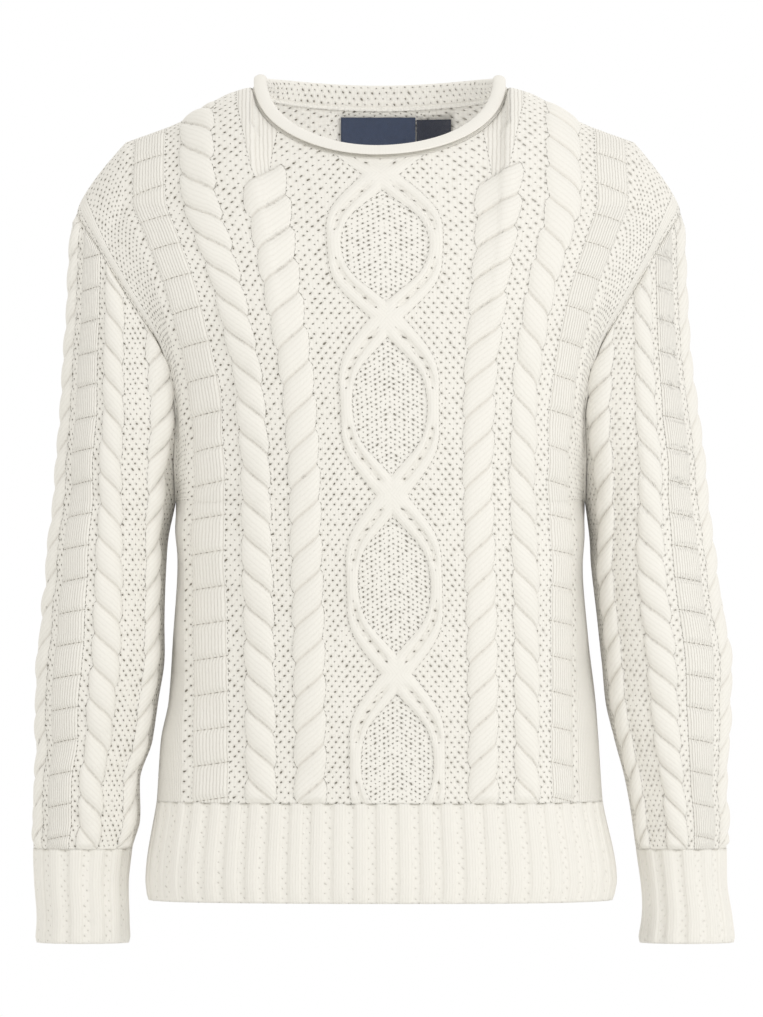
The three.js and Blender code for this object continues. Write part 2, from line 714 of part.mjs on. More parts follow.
const front = panel("front", FRONT_COLUMNS, FRONT_LOWER_ROWS);
const back = panel("back", BACK_COLUMNS, BACK_LOWER_ROWS);
for (const [name, made] of [["front", front], ["back", back]]) {
  const rows = spread(2, made.lastRow - 2, INSIDE.rows);
  const columns = spread(1, made.lastColumn - 1, INSIDE.columns);
  sweater.add(panelSolid(made.outer, made.inner, rows, columns).mesh(name, ivory(name)));
}

// Sleeves
for (const [name, side] of Object.entries(SIDES)) {
  const points = side.sleeve.map((row) => row.map((cell) => cell.point));
  const awayFromArm = (point) => new THREE.Vector3(
    point.x - side.sign * side.middle(point.z), point.y, 0,
  );
  const normals = normalsOf(points, true, awayFromArm);
  const last = points.length - 1;
  const count = points[0].length;
  normals[last].forEach((normal) => flatten(normal, "z"));
  const outer = points.map((row, i) => row.map((point, j) => {
    const steps = Math.min(i, last - i);
    const share = steps < RELIEF_NEAR_EDGE.length ? RELIEF_NEAR_EDGE[steps] : 1;
    const cell = side.sleeve[i][j];
    return point.clone().addScaledVector(normals[i][j], share * sleeveRelief(cell.place, cell.course));
  }));
  const inner = points.map((row, i) => row.map((point, j) => (
    point.clone().addScaledVector(normals[i][j], -WALL)
  )));
  for (let j = 0; j < count; j += 1) {
    const onFront = j <= ARM_KNOTS;
    const knot = onFront ? ARM_KNOTS - j : ARM_KNOTS - (count - j);
    const direction = side.seams[onFront ? "front" : "back"][knot].clone();
    if (j === 0 || j === ARM_KNOTS) direction.add(side.seams.back[knot]).normalize();
    const seam = points[0][j].clone();
    keepClear(outer[0][j], seam, direction, 1, GAP / 2);
    keepClear(inner[0][j], seam, direction, 1, GAP);
  }
  const insideRows = spread(2, last - 1, INSIDE.rows);
  const solid = tubeSolid(outer, inner, insideRows, spread(0, count - 2, INSIDE.columns));
  sweater.add(solid.mesh(`sleeve_${name}`, ivory("sleeve")));
}

// Ribbed hem, one half in front and one behind, on the same level sections as the panels
const HEM_RIBS = 28;
const HEM_ROWS = [HEM_Z, -657, -624, HEM_RIB_TOP - GAP / 2];

function levelSection(face, z, steps) {
  const points = [];
  const fineness = 8;
  for (let k = -PANEL_EDGE * fineness; k <= PANEL_EDGE * fineness; k += fineness / 2) {
    const column = k / fineness;
    const side = column < 0 ? SIDES.right : SIDES.left;
    const place = Math.abs(column);
    const across = clamp((place - SIDE_STRIP_START) / (PANEL_EDGE - SIDE_STRIP_START), 0, 1);
    const inner = facePoint(face, side, Math.min(place, SIDE_STRIP_START), z, 0);
    const edge = new THREE.Vector3(side.sign * edgeAt(side, z).x, seamY(face), z);
    points.push(roundTheSide(inner, edge, across, 0));
  }
  const lengths = [0];
  for (let k = 1; k < points.length; k += 1) {
    lengths.push(lengths[k - 1] + points[k].distanceTo(points[k - 1]));
  }
  const whole = lengths[lengths.length - 1];
  const even = [];
  for (let j = 0; j <= steps; j += 1) {
    const target = (whole * j) / steps;
    let k = 1;
    while (k < points.length - 1 && lengths[k] < target) k += 1;
    const t = (target - lengths[k - 1]) / (lengths[k] - lengths[k - 1]);
    even.push(points[k - 1].clone().lerp(points[k], t));
  }
  return even;
}

for (const face of ["front", "back"]) {
  const steps = HEM_RIBS * 2;
  const points = HEM_ROWS.map((z) => levelSection(face, z, steps));
  const normals = normalsOf(points, false, (p) => new THREE.Vector3(p.x, p.y * OUTWARD.y, 0));
  normals.forEach((row) => {
    row.forEach((normal) => flatten(normal, "z"));
    flatten(row[0], "y");
    flatten(row[steps], "y");
  });
  const outer = points.map((row, i) => row.map((p, j) => (
    p.clone().addScaledVector(normals[i][j], j % 2 === 1 ? RIB_HEIGHT : 0)
  )));
  const inner = points.map((row, i) => row.map((p, j) => p.clone().addScaledVector(normals[i][j], -WALL)));
  const solid = panelSolid(outer, inner, [1, 2], spread(2, steps - 2, INSIDE.rows));
  sweater.add(solid.mesh(`hem_rib_${face}`, ivory("rib")));
}

// Ribbed cuffs
const CUFF_RIBS = 13;
const CUFF_ROWS = [CUFF_END_Z, -691, -658, SLEEVE_END_Z - GAP / 2];
for (const [name, side] of Object.entries(SIDES)) {
  const steps = CUFF_RIBS * 2;
  const points = CUFF_ROWS.map((z) => {
    const row = [];
    for (let j = 0; j < steps; j += 1) row.push(tubePoint(side, (360 * j) / steps, z));
    return row;
  });
  const normals = normalsOf(points, true, (p) => (
    new THREE.Vector3(p.x - side.sign * side.middle(p.z), p.y, 0)
  ));
  normals.forEach((row) => row.forEach((normal) => flatten(normal, "z")));
  const outer = points.map((row, i) => row.map((p, j) => (
    p.clone().addScaledVector(normals[i][j], (j % 2 === 1 ? RIB_HEIGHT : 0) - CUFF_SINK)
  )));
  const inner = points.map((row, i) => row.map((p, j) => (
    p.clone().addScaledVector(normals[i][j], -WALL - CUFF_SINK)
  )));
  const solid = tubeSolid(outer, inner, [1, 2], spread(0, steps - 2, INSIDE.cuffColumns));
  sweater.add(solid.mesh(`cuff_${name}`, ivory("rib")));
}

// Rolled neckband: a hooked wall whose foot sits on the rims of both panels. It leans in
// by these degrees and is scaled by these sizes. Columns of the profile: along the lean
// of the band, and outward from it. Its lip sinks towards the panel in front only.
const BAND_LEAN = { front: 60, side: 62, back: 12 };
const BAND_SIZE = { front: 0.84, side: 0.84, back: 1.16 };
const LIP_SINK = { front: 3, side: -3.5, back: -2 };
const BAND_PROFILE = [
  { along: 6, out: 1.6, lip: 0 },
  { along: 10, out: 2.6, lip: 0 },
  { along: 11.4, out: 4.6, lip: 0 },
  { along: 8.6, out: 6, lip: 0.3 },
  { along: 3.6, out: 6.4, lip: 1 },
  { along: 3.4, out: 8.6, lip: 1 },
  { along: 8, out: 9.8, lip: 0.3 },
  { along: 12.6, out: 9.3, lip: 0 },
  { along: 16, out: 6.8, lip: 0 },
  { along: 17, out: 3, lip: 0 },
  { along: 14.6, out: -1.2, lip: 0 },
  { along: 7, out: -1.8, lip: 0 },
];

function bandSections() {
  const stations = [];
  const neckOf = (made) => made.grid[made.lastRow]
    .map((cell, j) => ({ column: cell.column, j }))
    .filter(({ column }) => Math.abs(column) <= NECK_COLUMN);
  for (const { j } of neckOf(front)) {
    stations.push({ outer: front.outer[front.lastRow][j], inner: front.inner[front.lastRow][j] });
  }
  const behind = neckOf(back).reverse();
  for (const { j } of behind) {
    stations.push({ outer: back.outer[back.lastRow][j], inner: back.inner[back.lastRow][j] });
  }
  return stations.map(({ outer, inner }) => {
    const depth = outer.y < 0 ? NECK.frontDepth : NECK.backDepth;
    const radial = new THREE.Vector3(outer.x / NECK.halfWidth ** 2, outer.y / depth ** 2, 0).normalize();
    const frontShare = clamp(-outer.y / depth, 0, 1);
    const backShare = clamp(outer.y / depth, 0, 1);
    const around = (sizes) => (
      lerp(lerp(sizes.side, sizes.front, frontShare), sizes.back, smooth(backShare))
    );
    const lean = THREE.MathUtils.degToRad(around(BAND_LEAN));
    const size = around(BAND_SIZE);
    const sink = around(LIP_SINK);
    const along = radial.clone().multiplyScalar(-Math.sin(lean));
    along.z = Math.cos(lean);
    const out = radial.clone().multiplyScalar(Math.cos(lean));
    out.z = Math.sin(lean);
    const foot = outer.clone().add(inner).multiplyScalar(0.5);
    const section = [outer.clone().addScaledVector(along, GAP)];
    for (const row of BAND_PROFILE) {
      const rise = size * row.along - sink * row.lip;
      section.push(foot.clone().addScaledVector(along, rise).addScaledVector(out, size * row.out));
    }
    section.push(inner.clone().addScaledVector(along, GAP));
    return section;
  });
}

const band = new Solid();
const sections = band.grid(bandSections());
sections.push(sections[0]);
band.sheet(sections, true, false);
sweater.add(band.mesh("neckband", ivory("neckband")));

// Bare woven labels sewn inside the back of the neck
const LABELS = [
  { name: "label", from: -33, to: 30, top: -15, bottom: -45, lift: 1, thick: 0.9, finish: navy },
  { name: "care_label", from: 31, to: 60, top: -17, bottom: -40, lift: 1.5, thick: 0.8, finish: darkNavy },
];
sweater.updateMatrixWorld(true);
const backMesh = sweater.children.find((mesh) => mesh.name === "back");
for (const label of LABELS) {
  const columns = 4;
  const rows = 3;
  const wall = [];
  for (let i = 0; i <= rows; i += 1) {
    wall.push([]);
    for (let j = 0; j <= columns; j += 1) {
      const x = lerp(label.from, label.to, j / columns);
      const z = lerp(label.bottom, label.top, i / rows);
      const ray = new THREE.Raycaster(new THREE.Vector3(x, 0, z), new THREE.Vector3(0, 1, 0));
      const [hit] = ray.intersectObject(backMesh);
      wall[i].push(hit.point);
    }
  }
  const toward = (distance) => wall.map((row) => row.map((p) => new THREE.Vector3(p.x, p.y - distance, p.z)));
  const solid = new Solid();
  const near = solid.grid(toward(label.lift));
  const far = solid.grid(toward(label.lift + label.thick));
  solid.sheet(near, false, false);
  solid.rim(outlineOf(near).map((p) => p.index), outlineOf(far).map((p) => p.index));
  solid.sheet(far, false, true);
  sweater.add(solid.mesh(label.name, label.finish));
}

export default sweater;
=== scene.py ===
# %% [markdown]
# Cable knit sweater
#
# A chunky ivory cotton sweater in its worn, hollow shape: a front, a back, two dropped
# sleeves, a rolled neckband and 2x2 ribs at hem and cuffs. Every piece is a knitted wall.
# Its form is a surface worked out from a few outline tables, and the cables, lattice,
# ladders and ribs are heights added along the surface's normal.

# %% Load the frame
import bpy
import numpy as np
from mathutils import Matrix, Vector


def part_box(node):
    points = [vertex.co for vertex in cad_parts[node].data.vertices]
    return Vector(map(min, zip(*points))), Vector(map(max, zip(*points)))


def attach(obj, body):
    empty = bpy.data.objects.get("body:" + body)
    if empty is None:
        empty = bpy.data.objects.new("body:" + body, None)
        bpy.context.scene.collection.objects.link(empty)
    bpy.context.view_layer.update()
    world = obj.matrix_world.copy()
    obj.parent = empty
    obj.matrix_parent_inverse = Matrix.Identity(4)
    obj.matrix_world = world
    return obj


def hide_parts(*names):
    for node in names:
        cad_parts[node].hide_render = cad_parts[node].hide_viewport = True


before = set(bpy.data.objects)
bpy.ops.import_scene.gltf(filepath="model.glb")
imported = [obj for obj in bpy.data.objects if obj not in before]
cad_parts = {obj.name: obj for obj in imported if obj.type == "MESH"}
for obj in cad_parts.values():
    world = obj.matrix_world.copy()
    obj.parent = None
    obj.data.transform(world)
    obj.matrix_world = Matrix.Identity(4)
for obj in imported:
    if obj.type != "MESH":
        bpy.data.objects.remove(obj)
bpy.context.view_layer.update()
MM = 0.001
print("frame nodes", sorted(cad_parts))

# %% [markdown]
# Camera and light come first. The photograph is a long-lens front view at the garment's
# own height, so the hem and cuffs look level. Its scale is 0.84 mm to a pixel on the
# plane of the side seams. The light is broad and soft, a little stronger from the
# viewer's right.

# %% Camera
PIXEL_MM = 0.84
PHOTO_WIDTH, PHOTO_HEIGHT = 763, 1017
NECK_BASE_PIXEL = (380, 97)
CAMERA_DISTANCE = 10.0
SENSOR = 36.0


def add_camera():
    """Level camera in front, aimed so that the neck base falls on its own pixel."""
    data = bpy.data.cameras.new("camera")
    data.sensor_fit = "VERTICAL"
    data.sensor_height = SENSOR
    data.lens = SENSOR * CAMERA_DISTANCE / (PHOTO_HEIGHT * PIXEL_MM * MM)
    data.clip_end = 100
    camera = bpy.data.objects.new("camera", data)
    bpy.context.scene.collection.objects.link(camera)
    across = (PHOTO_WIDTH / 2 - NECK_BASE_PIXEL[0]) * PIXEL_MM * MM
    up = -(PHOTO_HEIGHT / 2 - NECK_BASE_PIXEL[1]) * PIXEL_MM * MM
    camera.location = (across, -CAMERA_DISTANCE, up)
    camera.rotation_euler = (np.pi / 2, 0, 0)
    bpy.context.scene.camera = camera
    return camera


camera = add_camera()
bpy.context.scene.view_settings.view_transform = "Standard"
print("camera lens", round(camera.data.lens, 1))

# %% [markdown]
# Colours are written as hex codes and made linear here. One helper adds every shader
# node, so a material reads as a list of its parts.

# %% Colour and node helpers
def linear(code, alpha=1.0):
    """sRGB hex to linear: below 0.04045 divide by 12.92, above it use the 2.4 power."""
    srgb = np.array([int(code[k:k + 2], 16) for k in (1, 3, 5)]) / 255
    low = srgb / 12.92
    high = ((srgb + 0.055) / 1.055) ** 2.4
    return (*np.where(srgb <= 0.04045, low, high), alpha)


def node(tree, kind, links=(), **settings):
    """Adds one node. Settings name its properties; links pair an input with a value or a socket."""
    made = tree.nodes.new(kind)
    for name, value in settings.items():
        setattr(made, name, value)
    for key, value in dict(links).items():
        socket = made.inputs[key]
        if isinstance(value, bpy.types.NodeSocket):
            tree.links.new(value, socket)
        else:
            socket.default_value = value
    return made


# %% [markdown]
# The floor is a pale disc below the cuffs. The world is white to the camera, as on a
# studio cut-out, and dimmer as a light, so that soft panels can model the relief: a key,
# a weak fill and one behind. A small panel inside the body lights the back of the neck.

# %% Floor and lights
FLOOR_Z = -0.86
WORLD_LIGHT = 0.83
INNER_LIGHT = 0.16


def add_floor():
    """A disc: a ring of 96 points filled by one face."""
    turns = np.linspace(0, 2 * np.pi, 96, endpoint=False)
    ring = np.stack([1.6 * np.cos(turns), 1.6 * np.sin(turns), np.full(96, FLOOR_Z)], 1)
    mesh = bpy.data.meshes.new("floor")
    mesh.from_pydata(ring.tolist(), [], [list(range(96))])
    floor = bpy.data.objects.new("floor", mesh)
    bpy.context.scene.collection.objects.link(floor)
    material = bpy.data.materials.new("painted studio floor, matt white")
    material.use_nodes = True
    shader = material.node_tree.nodes["Principled BSDF"]
    shader.inputs["Base Color"].default_value = linear("#f4f4f2")
    shader.inputs["Roughness"].default_value = 0.7
    mesh.materials.append(material)


def add_panel(name, place, size, power, target=(0, 0, -0.35)):
    """A square soft light that faces its target, or else the garment's middle."""
    data = bpy.data.lights.new(name, "AREA")
    data.size = size
    data.energy = power
    light = bpy.data.objects.new(name, data)
    light.location = place
    aim = Vector(target) - Vector(place)
    light.rotation_euler = aim.to_track_quat("-Z", "Y").to_euler()
    bpy.context.scene.collection.objects.link(light)
    return light


def add_world():
    """White to the camera, and a dimmer, slightly warm light on everything else."""
    world = bpy.data.worlds.new("studio")
    world.use_nodes = True
    tree = world.node_tree
    tree.nodes.clear()
    seen = node(tree, "ShaderNodeBackground", {"Color": (1, 1, 1, 1), "Strength": 1.0})
    lit = node(tree, "ShaderNodeBackground", {"Color": linear("#fffdf8"), "Strength": WORLD_LIGHT})
    path = node(tree, "ShaderNodeLightPath")
    mix = node(tree, "ShaderNodeMixShader", {0: path.outputs["Is Camera Ray"]})
    tree.links.new(lit.outputs[0], mix.inputs[1])
    tree.links.new(seen.outputs[0], mix.inputs[2])
    node(tree, "ShaderNodeOutputWorld", {"Surface": mix.outputs[0]})
    bpy.context.scene.world = world


add_floor()
add_world()
inner_panel = add_panel("inner panel", (0, 0, -0.2), 0.12, INNER_LIGHT, target=(0, 0.08, -0.03))
inner_panel.visible_camera = False
add_panel("key panel", (2.6, -3.4, 1.2), 1.6, 40)
add_panel("fill panel", (-2.8, -3.0, 0.6), 2.4, 4)
add_panel("back panel", (0.4, 3.0, 1.6), 2.4, 30)
print("floor, world and four panels")

# %% [markdown]
# The outline tables hold the garment's sizes in millimetres: the body's half widths and
# depths by height, the two sleeves as tubes, the armhole seam, the shoulder line, and
# how the knitted columns fan out towards the shoulders. `curve` draws a smooth line
# through a table's column without overshoot.

# %% Outline tables
HEM_Z, HEM_RIB_TOP, UNDERARM_Z, SHOULDER_POINT_Z = -674, -591, -340, -95
SLEEVE_END_Z, CUFF_END_Z = -631, -710
WALL, GAP = 2.6, 0.3
STRIP_START, PANEL_EDGE, ROUNDNESS = 168, 232, 2.5
NECK = dict(half_width=107, side_z=8, front_depth=85, back_depth=72, front_drop=62, back_drop=16)


def table(names, *rows):
    """Rows of numbers as one array for each named column."""
    return {name: np.array(column, float) for name, column in zip(names.split(), zip(*rows))}


BODY = table(
    "z right left front back",
    (-674, 193, 194, 116, 110),
    (-657, 194.5, 196.5, 117, 111),
    (-591, 187.5, 187, 117, 111),
    (-540, 184, 183.5, 118, 111),
    (-507, 177.5, 181, 119, 111),
    (-456, 174, 175, 122, 113),
    (-389, 170, 170, 127, 118),
    (-340, 171.5, 172, 130, 120),
)
SLEEVE = table(
    "z outer_right middle_right outer_left middle_left depth",
    (-710, 287, 249.4, 295.7, 257.4, 40),
    (-691, 286, 249.2, 294, 257.8, 40),
    (-658, 289, 250.6, 290, 255, 41),
    (-631, 291, 249.5, 291, 253, 44),
    (-607, 291.5, 246.5, 292, 251.8, 48),
    (-574, 290, 245.8, 291.5, 248.7, 53),
    (-540, 289, 240, 293, 245, 58),
    (-506, 290, 238, 295.7, 242.4, 62),
    (-473, 288, 234.5, 295, 240.5, 65),
    (-439, 285, 233, 290.6, 236.5, 67),
    (-389, 280, 229.5, 282, 229.3, 68),
    (-340, 273.5, 222.5, 275, 223.5, 68),
    (-310, 271.5, 219, 272.5, 219.5, 68),
    (-267, 268, 211, 267, 211, 68),
    (-214, 265, 206, 260, 205, 65),
    (-182, 262.5, 204, 258, 203, 62),
    (-153, 261.5, 204, 256.5, 203, 56),
    (-123, 260, 205, 255.5, 204, 45),
    (-105, 257.5, 205, 254.5, 204, 31),
    (-95, 254, 205, 252, 204, 18),
)
ARMHOLE = table(
    "angle z",
    (0, -95), (30, -105), (52, -123), (73, -153), (92, -182),
    (115, -216), (136, -267), (155, -312), (180, -340),
)
SHOULDER = table(
    "x z",
    (107, 8), (124, 4), (137, -2), (167, -20.5), (190, -30),
    (206, -35.5), (222, -42), (232, -52), (243, -70), (254, -95),
)
STATIONS = (0, 38.6, 76, 114, 152.5, 168)
FAN = table(
    "z lattice neck rope ladder strip drift",
    (-674, 38.6, 75, 114, 151, 166, 15),
    (-500, 38.6, 75, 114, 151, 165, 14),
    (-340, 38.6, 75, 114, 151, 163, 10),
    (-254, 40, 78, 118, 154, 166, 8),
    (-170, 43, 90, 132, 170, 184, 5),
    (-120, 47, 97, 148, 187, 203, 4),
    (-86, 46, 102, 158, 198, 215, 2),
    (-53, 47, 106, 159, 197, 214, 0),
    (12, 46, 107, 158, 196, 212, 0),
)
print("sleeve sections", len(SLEEVE["z"]), "body sections", len(BODY["z"]))

# %% [markdown]
# One set of formulas serves twice. On arrays they raise the cloth, and on shader values
# they add nodes, so each stitch is drawn where its relief stands.

# %% Formulas
class Shade:
    """A shader value that works in plain formulas: each operation adds one math node."""

    def __init__(self, tree, socket):
        self.tree = tree
        self.socket = socket

    def math(self, operation, *values):
        inputs = {k: v.socket if isinstance(v, Shade) else v for k, v in enumerate(values)}
        return Shade(self.tree, node(self.tree, "ShaderNodeMath", inputs, operation=operation).outputs[0])

    def __add__(self, other):
        return self.math("ADD", self, other)

    def __sub__(self, other):
        return self.math("SUBTRACT", self, other)

    def __rsub__(self, other):
        return self.math("SUBTRACT", other, self)

    def __mul__(self, other):
        return self.math("MULTIPLY", self, other)

    def __truediv__(self, other):
        return self.math("DIVIDE", self, other)

    def __pow__(self, other):
        return self.math("POWER", self, other)

    def __abs__(self):
        return self.math("ABSOLUTE", self)

    def __gt__(self, other):
        return self.math("GREATER_THAN", self, other)

    def __lt__(self, other):
        return self.math("LESS_THAN", self, other)

    __radd__ = __add__
    __rmul__ = __mul__


ON_ARRAYS = {
    "SINE": np.sin, "COSINE": np.cos, "ARCSINE": np.arcsin, "FLOOR": np.floor, "SIGN": np.sign,
    "SQRT": np.sqrt, "MINIMUM": np.minimum, "MAXIMUM": np.maximum,
}


def calc(operation, *values):
    """One operation by its node name, on arrays or on shader values."""
    shades = [value for value in values if isinstance(value, Shade)]
    return shades[0].math(operation, *values) if shades else ON_ARRAYS[operation](*values)


def lerp(a, b, t):
    """Straight blend from a at 0 to b at 1."""
    return a + (b - a) * t


def clamp(value, low=0.0, high=1.0):
    """Keeps a value between two limits."""
    return calc("MINIMUM", calc("MAXIMUM", value, low), high)


def fract(value):
    """What is left above the whole number below."""
    return value - calc("FLOOR", value)


def smooth(value):
    """Eases from 0 to 1: three squares less two cubes."""
    t = clamp(value)
    return t * t * (3 - 2 * t)


def curve(rows, at, value):
    """Cubic pieces through a table. The slope at a row is the harmonic mean of the slopes
    beside it, or 0 at a peak, so the line never overshoots."""
    order = np.argsort(rows[at])
    x, y = rows[at][order], rows[value][order]
    step = np.diff(y) / np.diff(x)
    before, after = step[:-1], step[1:]
    agree = before * after > 0
    inside = np.zeros(len(before))
    inside[agree] = 2 * before[agree] * after[agree] / (before + after)[agree]
    slope = np.concatenate([[0], inside, [0]])

    def position(p):
        p = np.clip(p, x[0], x[-1])
        k = np.clip(np.searchsorted(x, p, side="right") - 1, 0, len(x) - 2)
        width = x[k + 1] - x[k]
        t = (p - x[k]) / width
        bend = t * (1 - t) ** 2 * slope[k] + t * t * (t - 1) * slope[k + 1]
        return y[k] + (y[k + 1] - y[k]) * t * t * (3 - 2 * t) + width * bend

    return position


SIDES = {
    name: dict(
        sign=sign,
        body=curve(BODY, "z", name),
        outer=curve(SLEEVE, "z", "outer_" + name),
        middle=curve(SLEEVE, "z", "middle_" + name),
    )
    for name, sign in (("right", -1), ("left", 1))
}
sleeve_depth = curve(SLEEVE, "z", "depth")
armhole_z = curve(ARMHOLE, "angle", "z")
shoulder_z = curve(SHOULDER, "x", "z")
drift = curve(FAN, "z", "drift")
fan = [curve(FAN, "z", name) for name in ("lattice", "neck", "rope", "ladder", "strip")]
body_depth = {face: curve(BODY, "z", face) for face in ("front", "back")}
print("front depth at the underarm", float(body_depth["front"](UNDERARM_Z)), "mm")


# %% [markdown]
# The sleeve is an ellipse at every height, and the armhole is a line drawn on that tube.
# The body's edge follows the same line, so body and sleeve meet along one seam.

# %% Sleeve tube and armhole
SHOULDER_SPREAD = 0.15


def stack(x, y, z):
    """Three arrays as one array of points."""
    return np.stack(np.broadcast_arrays(x, y, z), -1)


def tube(side, degrees, z):
    """A point of an ellipse at height z, with angle 0 on the sleeve's outer side."""
    angle = np.radians(degrees)
    half = side["outer"](z) - side["middle"](z)
    x = side["middle"](z) + half * np.cos(angle)
    return stack(side["sign"] * x, -sleeve_depth(z) * np.sin(angle), z)


def lengths_along(points):
    """Distance travelled along a line of points."""
    steps = np.linalg.norm(np.diff(points, axis=0), axis=1)
    return np.concatenate([[0], np.cumsum(steps)])


for side in SIDES.values():
    degrees = np.linspace(180, 0, 721)
    seam = tube(side, degrees, armhole_z(degrees))
    travelled = lengths_along(seam)
    side["arm_share"] = travelled / travelled[-1]
    side["arm_points"] = seam
    side["arm_degrees"] = degrees


def armhole_point(side, share):
    """The seam's point at a share of its length, from the underarm to the shoulder."""
    return np.stack([np.interp(share, side["arm_share"], side["arm_points"][:, k]) for k in range(3)], -1)


def edge_at(side, z):
    """Half width and depth of the body's edge at height z. Above the shoulder point the edge
    spreads by a share of the rise."""
    seam = side["arm_points"]
    x = np.interp(z, seam[:, 2], np.abs(seam[:, 0]))
    depth = np.interp(z, seam[:, 2], -seam[:, 1])
    spread = SHOULDER_SPREAD * np.maximum(0, z - SHOULDER_POINT_Z)
    x = np.where(z <= UNDERARM_Z, side["body"](z), x + spread)
    return x, np.where((z <= UNDERARM_Z) | (z >= SHOULDER_POINT_Z), 0, depth)


print("armhole half length", round(float(lengths_along(SIDES["left"]["arm_points"])[-1])), "mm")


# %% [markdown]
# A panel is measured by knitted column and by course. Columns run straight up to the
# underarm and then fan out, as the shaping draws them to the neck and shoulder. Each
# level section is a rounded box, flat in front and turning in at the sides.

# %% Panel surface
NECK_SPREAD = np.linspace(-22, 22, 12)
CORNER_STEPS = 16


def column_x(column, z):
    """Half width where a column lies at a height, on straight runs between its stations."""
    stations = [0 * z] + [station(z) for station in fan]
    x = 0 * z
    for k in range(len(fan)):
        share = np.clip((column - STATIONS[k]) / (STATIONS[k + 1] - STATIONS[k]), 0, 1)
        x = x + (stations[k + 1] - stations[k]) * share
    return x


def top_z(face, x):
    """Height of the top edge: an elliptical neckline, then the shoulder line."""
    drop = NECK[face + "_drop"]
    neck = NECK["side_z"] - drop * np.sqrt(np.clip(1 - (x / NECK["half_width"]) ** 2, 0, 1))
    return np.where(x >= NECK["half_width"], shoulder_z(x), neck)


def fullness(share, z):
    """Depth share of a level section: 1 in the middle, 0 at the edge, a power of 1 - s^2.5."""
    power = lerp(0.4, 0.75, smooth((z - UNDERARM_Z) / 140))
    return np.clip(1 - np.minimum(1, share) ** ROUNDNESS, 0, 1) ** power


def column_top(face, column):
    """Height where columns meet the top edge, by halving."""
    low = np.full(len(column), float(UNDERARM_Z))
    high = np.full(len(column), float(NECK["side_z"]))
    for _ in range(40):
        z = (low + high) / 2
        below = z < top_z(face, column_x(column, z))
        low, high = np.where(below, z, low), np.where(below, high, z)
    return low


def neck_arc(x):
    """Height share of a half ellipse over the neck's width."""
    return np.sqrt(np.clip(1 - (x / NECK["half_width"]) ** 2, 0, 1))


def face_point(face, side, column, z, top):
    """Plain surface of a panel, up to the side strip: depth is the edge's depth plus the
    section's fullness, and above the underarm the middle falls back to the top edge. Below
    that edge the neck's arc is an average over some width, so no crease runs down from it."""
    x = column_x(column, z)
    edge_x, edge_depth = edge_at(side, z)
    top_x = column_x(column, top)
    rise = np.clip((z - UNDERARM_Z) / (top - UNDERARM_Z), 0, 1)
    near_top = smooth((rise - 0.86) / 0.14)
    neck_share = lerp(neck_arc(top_x[..., None] + NECK_SPREAD).mean(-1), neck_arc(top_x), near_top)
    top_full = np.maximum(fullness(top_x / edge_at(side, top)[0], top), 1e-6)
    top_depth = NECK[face + "_depth"] * neck_share / top_full
    fall = (1 - rise ** 2.6) ** lerp(0.5, 1, neck_share)
    upper = lerp(top_depth, body_depth[face](UNDERARM_Z), fall)
    middle = np.where(z > UNDERARM_Z, upper, body_depth[face](z))
    depth = GAP / 2 + lerp(edge_depth, middle, fullness(x / edge_x, z))
    sway = drift(z) * (1 - (column / STRIP_START) ** 4)
    return stack(side["sign"] * x + sway, -depth if face == "front" else depth, z)


def round_side(inner, edge, across, ease):
    """The side strip turns from the panel's face to its edge: x bends early, y and z evenly."""
    bend = 1 - (1 - across) ** lerp(ROUNDNESS, 1.3, ease)
    x = lerp(inner[..., 0], edge[..., 0], bend)
    y = lerp(inner[..., 1], edge[..., 1], across)
    return stack(x, y, lerp(inner[..., 2], edge[..., 2], across))


def upper_path(face, side, column):
    """One column above the underarm, and the cloth's length along it."""
    top = column_top(face, np.array([column]))[0]
    z = lerp(UNDERARM_Z, top, np.sin(np.linspace(0, np.pi / 2, 241)))
    path = face_point(face, side, np.full(241, float(column)), z, np.full(241, top))
    return path, lengths_along(path)


def even_shares(full, shares):
    """Rows at even shares s of each column's length. Below the top edge they take the mean
    length of the columns near by instead, by 1 - s^6, so rows cross a corner level."""
    window = np.hanning(2 * CORNER_STEPS + 1)
    mean = np.convolve(np.pad(full, CORNER_STEPS, mode="edge"), window / window.sum(), "valid")
    return shares * (1 + (mean / full - 1)[:, None] * (1 - shares ** 6))


def panel_surface(face, columns, lower, upper):
    """Grid of points, courses and signed columns of a whole panel."""
    heights = np.linspace(HEM_RIB_TOP + GAP / 2, UNDERARM_Z, lower, endpoint=False)
    shares = np.linspace(0, 1, upper)
    seam_y = -GAP / 2 if face == "front" else GAP / 2
    points, courses = [], []
    sides = [SIDES["right" if column < 0 else "left"] for column in columns]
    inner_places = np.minimum(np.abs(columns), STRIP_START)
    paths = [upper_path(face, side, place) for side, place in zip(sides, inner_places)]
    rows = even_shares(np.array([length[-1] for _, length in paths]), shares)
    for k, column in enumerate(columns):
        side, place, inner_place = sides[k], abs(column), inner_places[k]
        across = np.clip((place - STRIP_START) / (PANEL_EDGE - STRIP_START), 0, 1)
        low = face_point(face, side, np.full(lower, float(inner_place)), heights, 0 * heights)
        path, length = paths[k]
        at = (rows[k] if place < STRIP_START else shares) * length[-1]
        high = np.stack([np.interp(at, length, path[:, axis]) for axis in range(3)], -1)
        if place > STRIP_START:
            low_edge = stack(side["sign"] * edge_at(side, heights)[0], seam_y, heights)
            low = round_side(low, low_edge, across, 0)
            seam = armhole_point(side, shares)
            seam[:, 1] = seam[:, 1] * (1 if face == "front" else -1) + seam_y
            high = round_side(high, seam, across, smooth(shares))
            at = shares * lengths_along(high)[-1]
        points.append(np.concatenate([low, high]))
        courses.append(np.concatenate([heights, UNDERARM_Z + at]))
    grid = np.stack(points, 1)
    return grid, np.stack(courses, 1), np.broadcast_to(columns, grid.shape[:2])


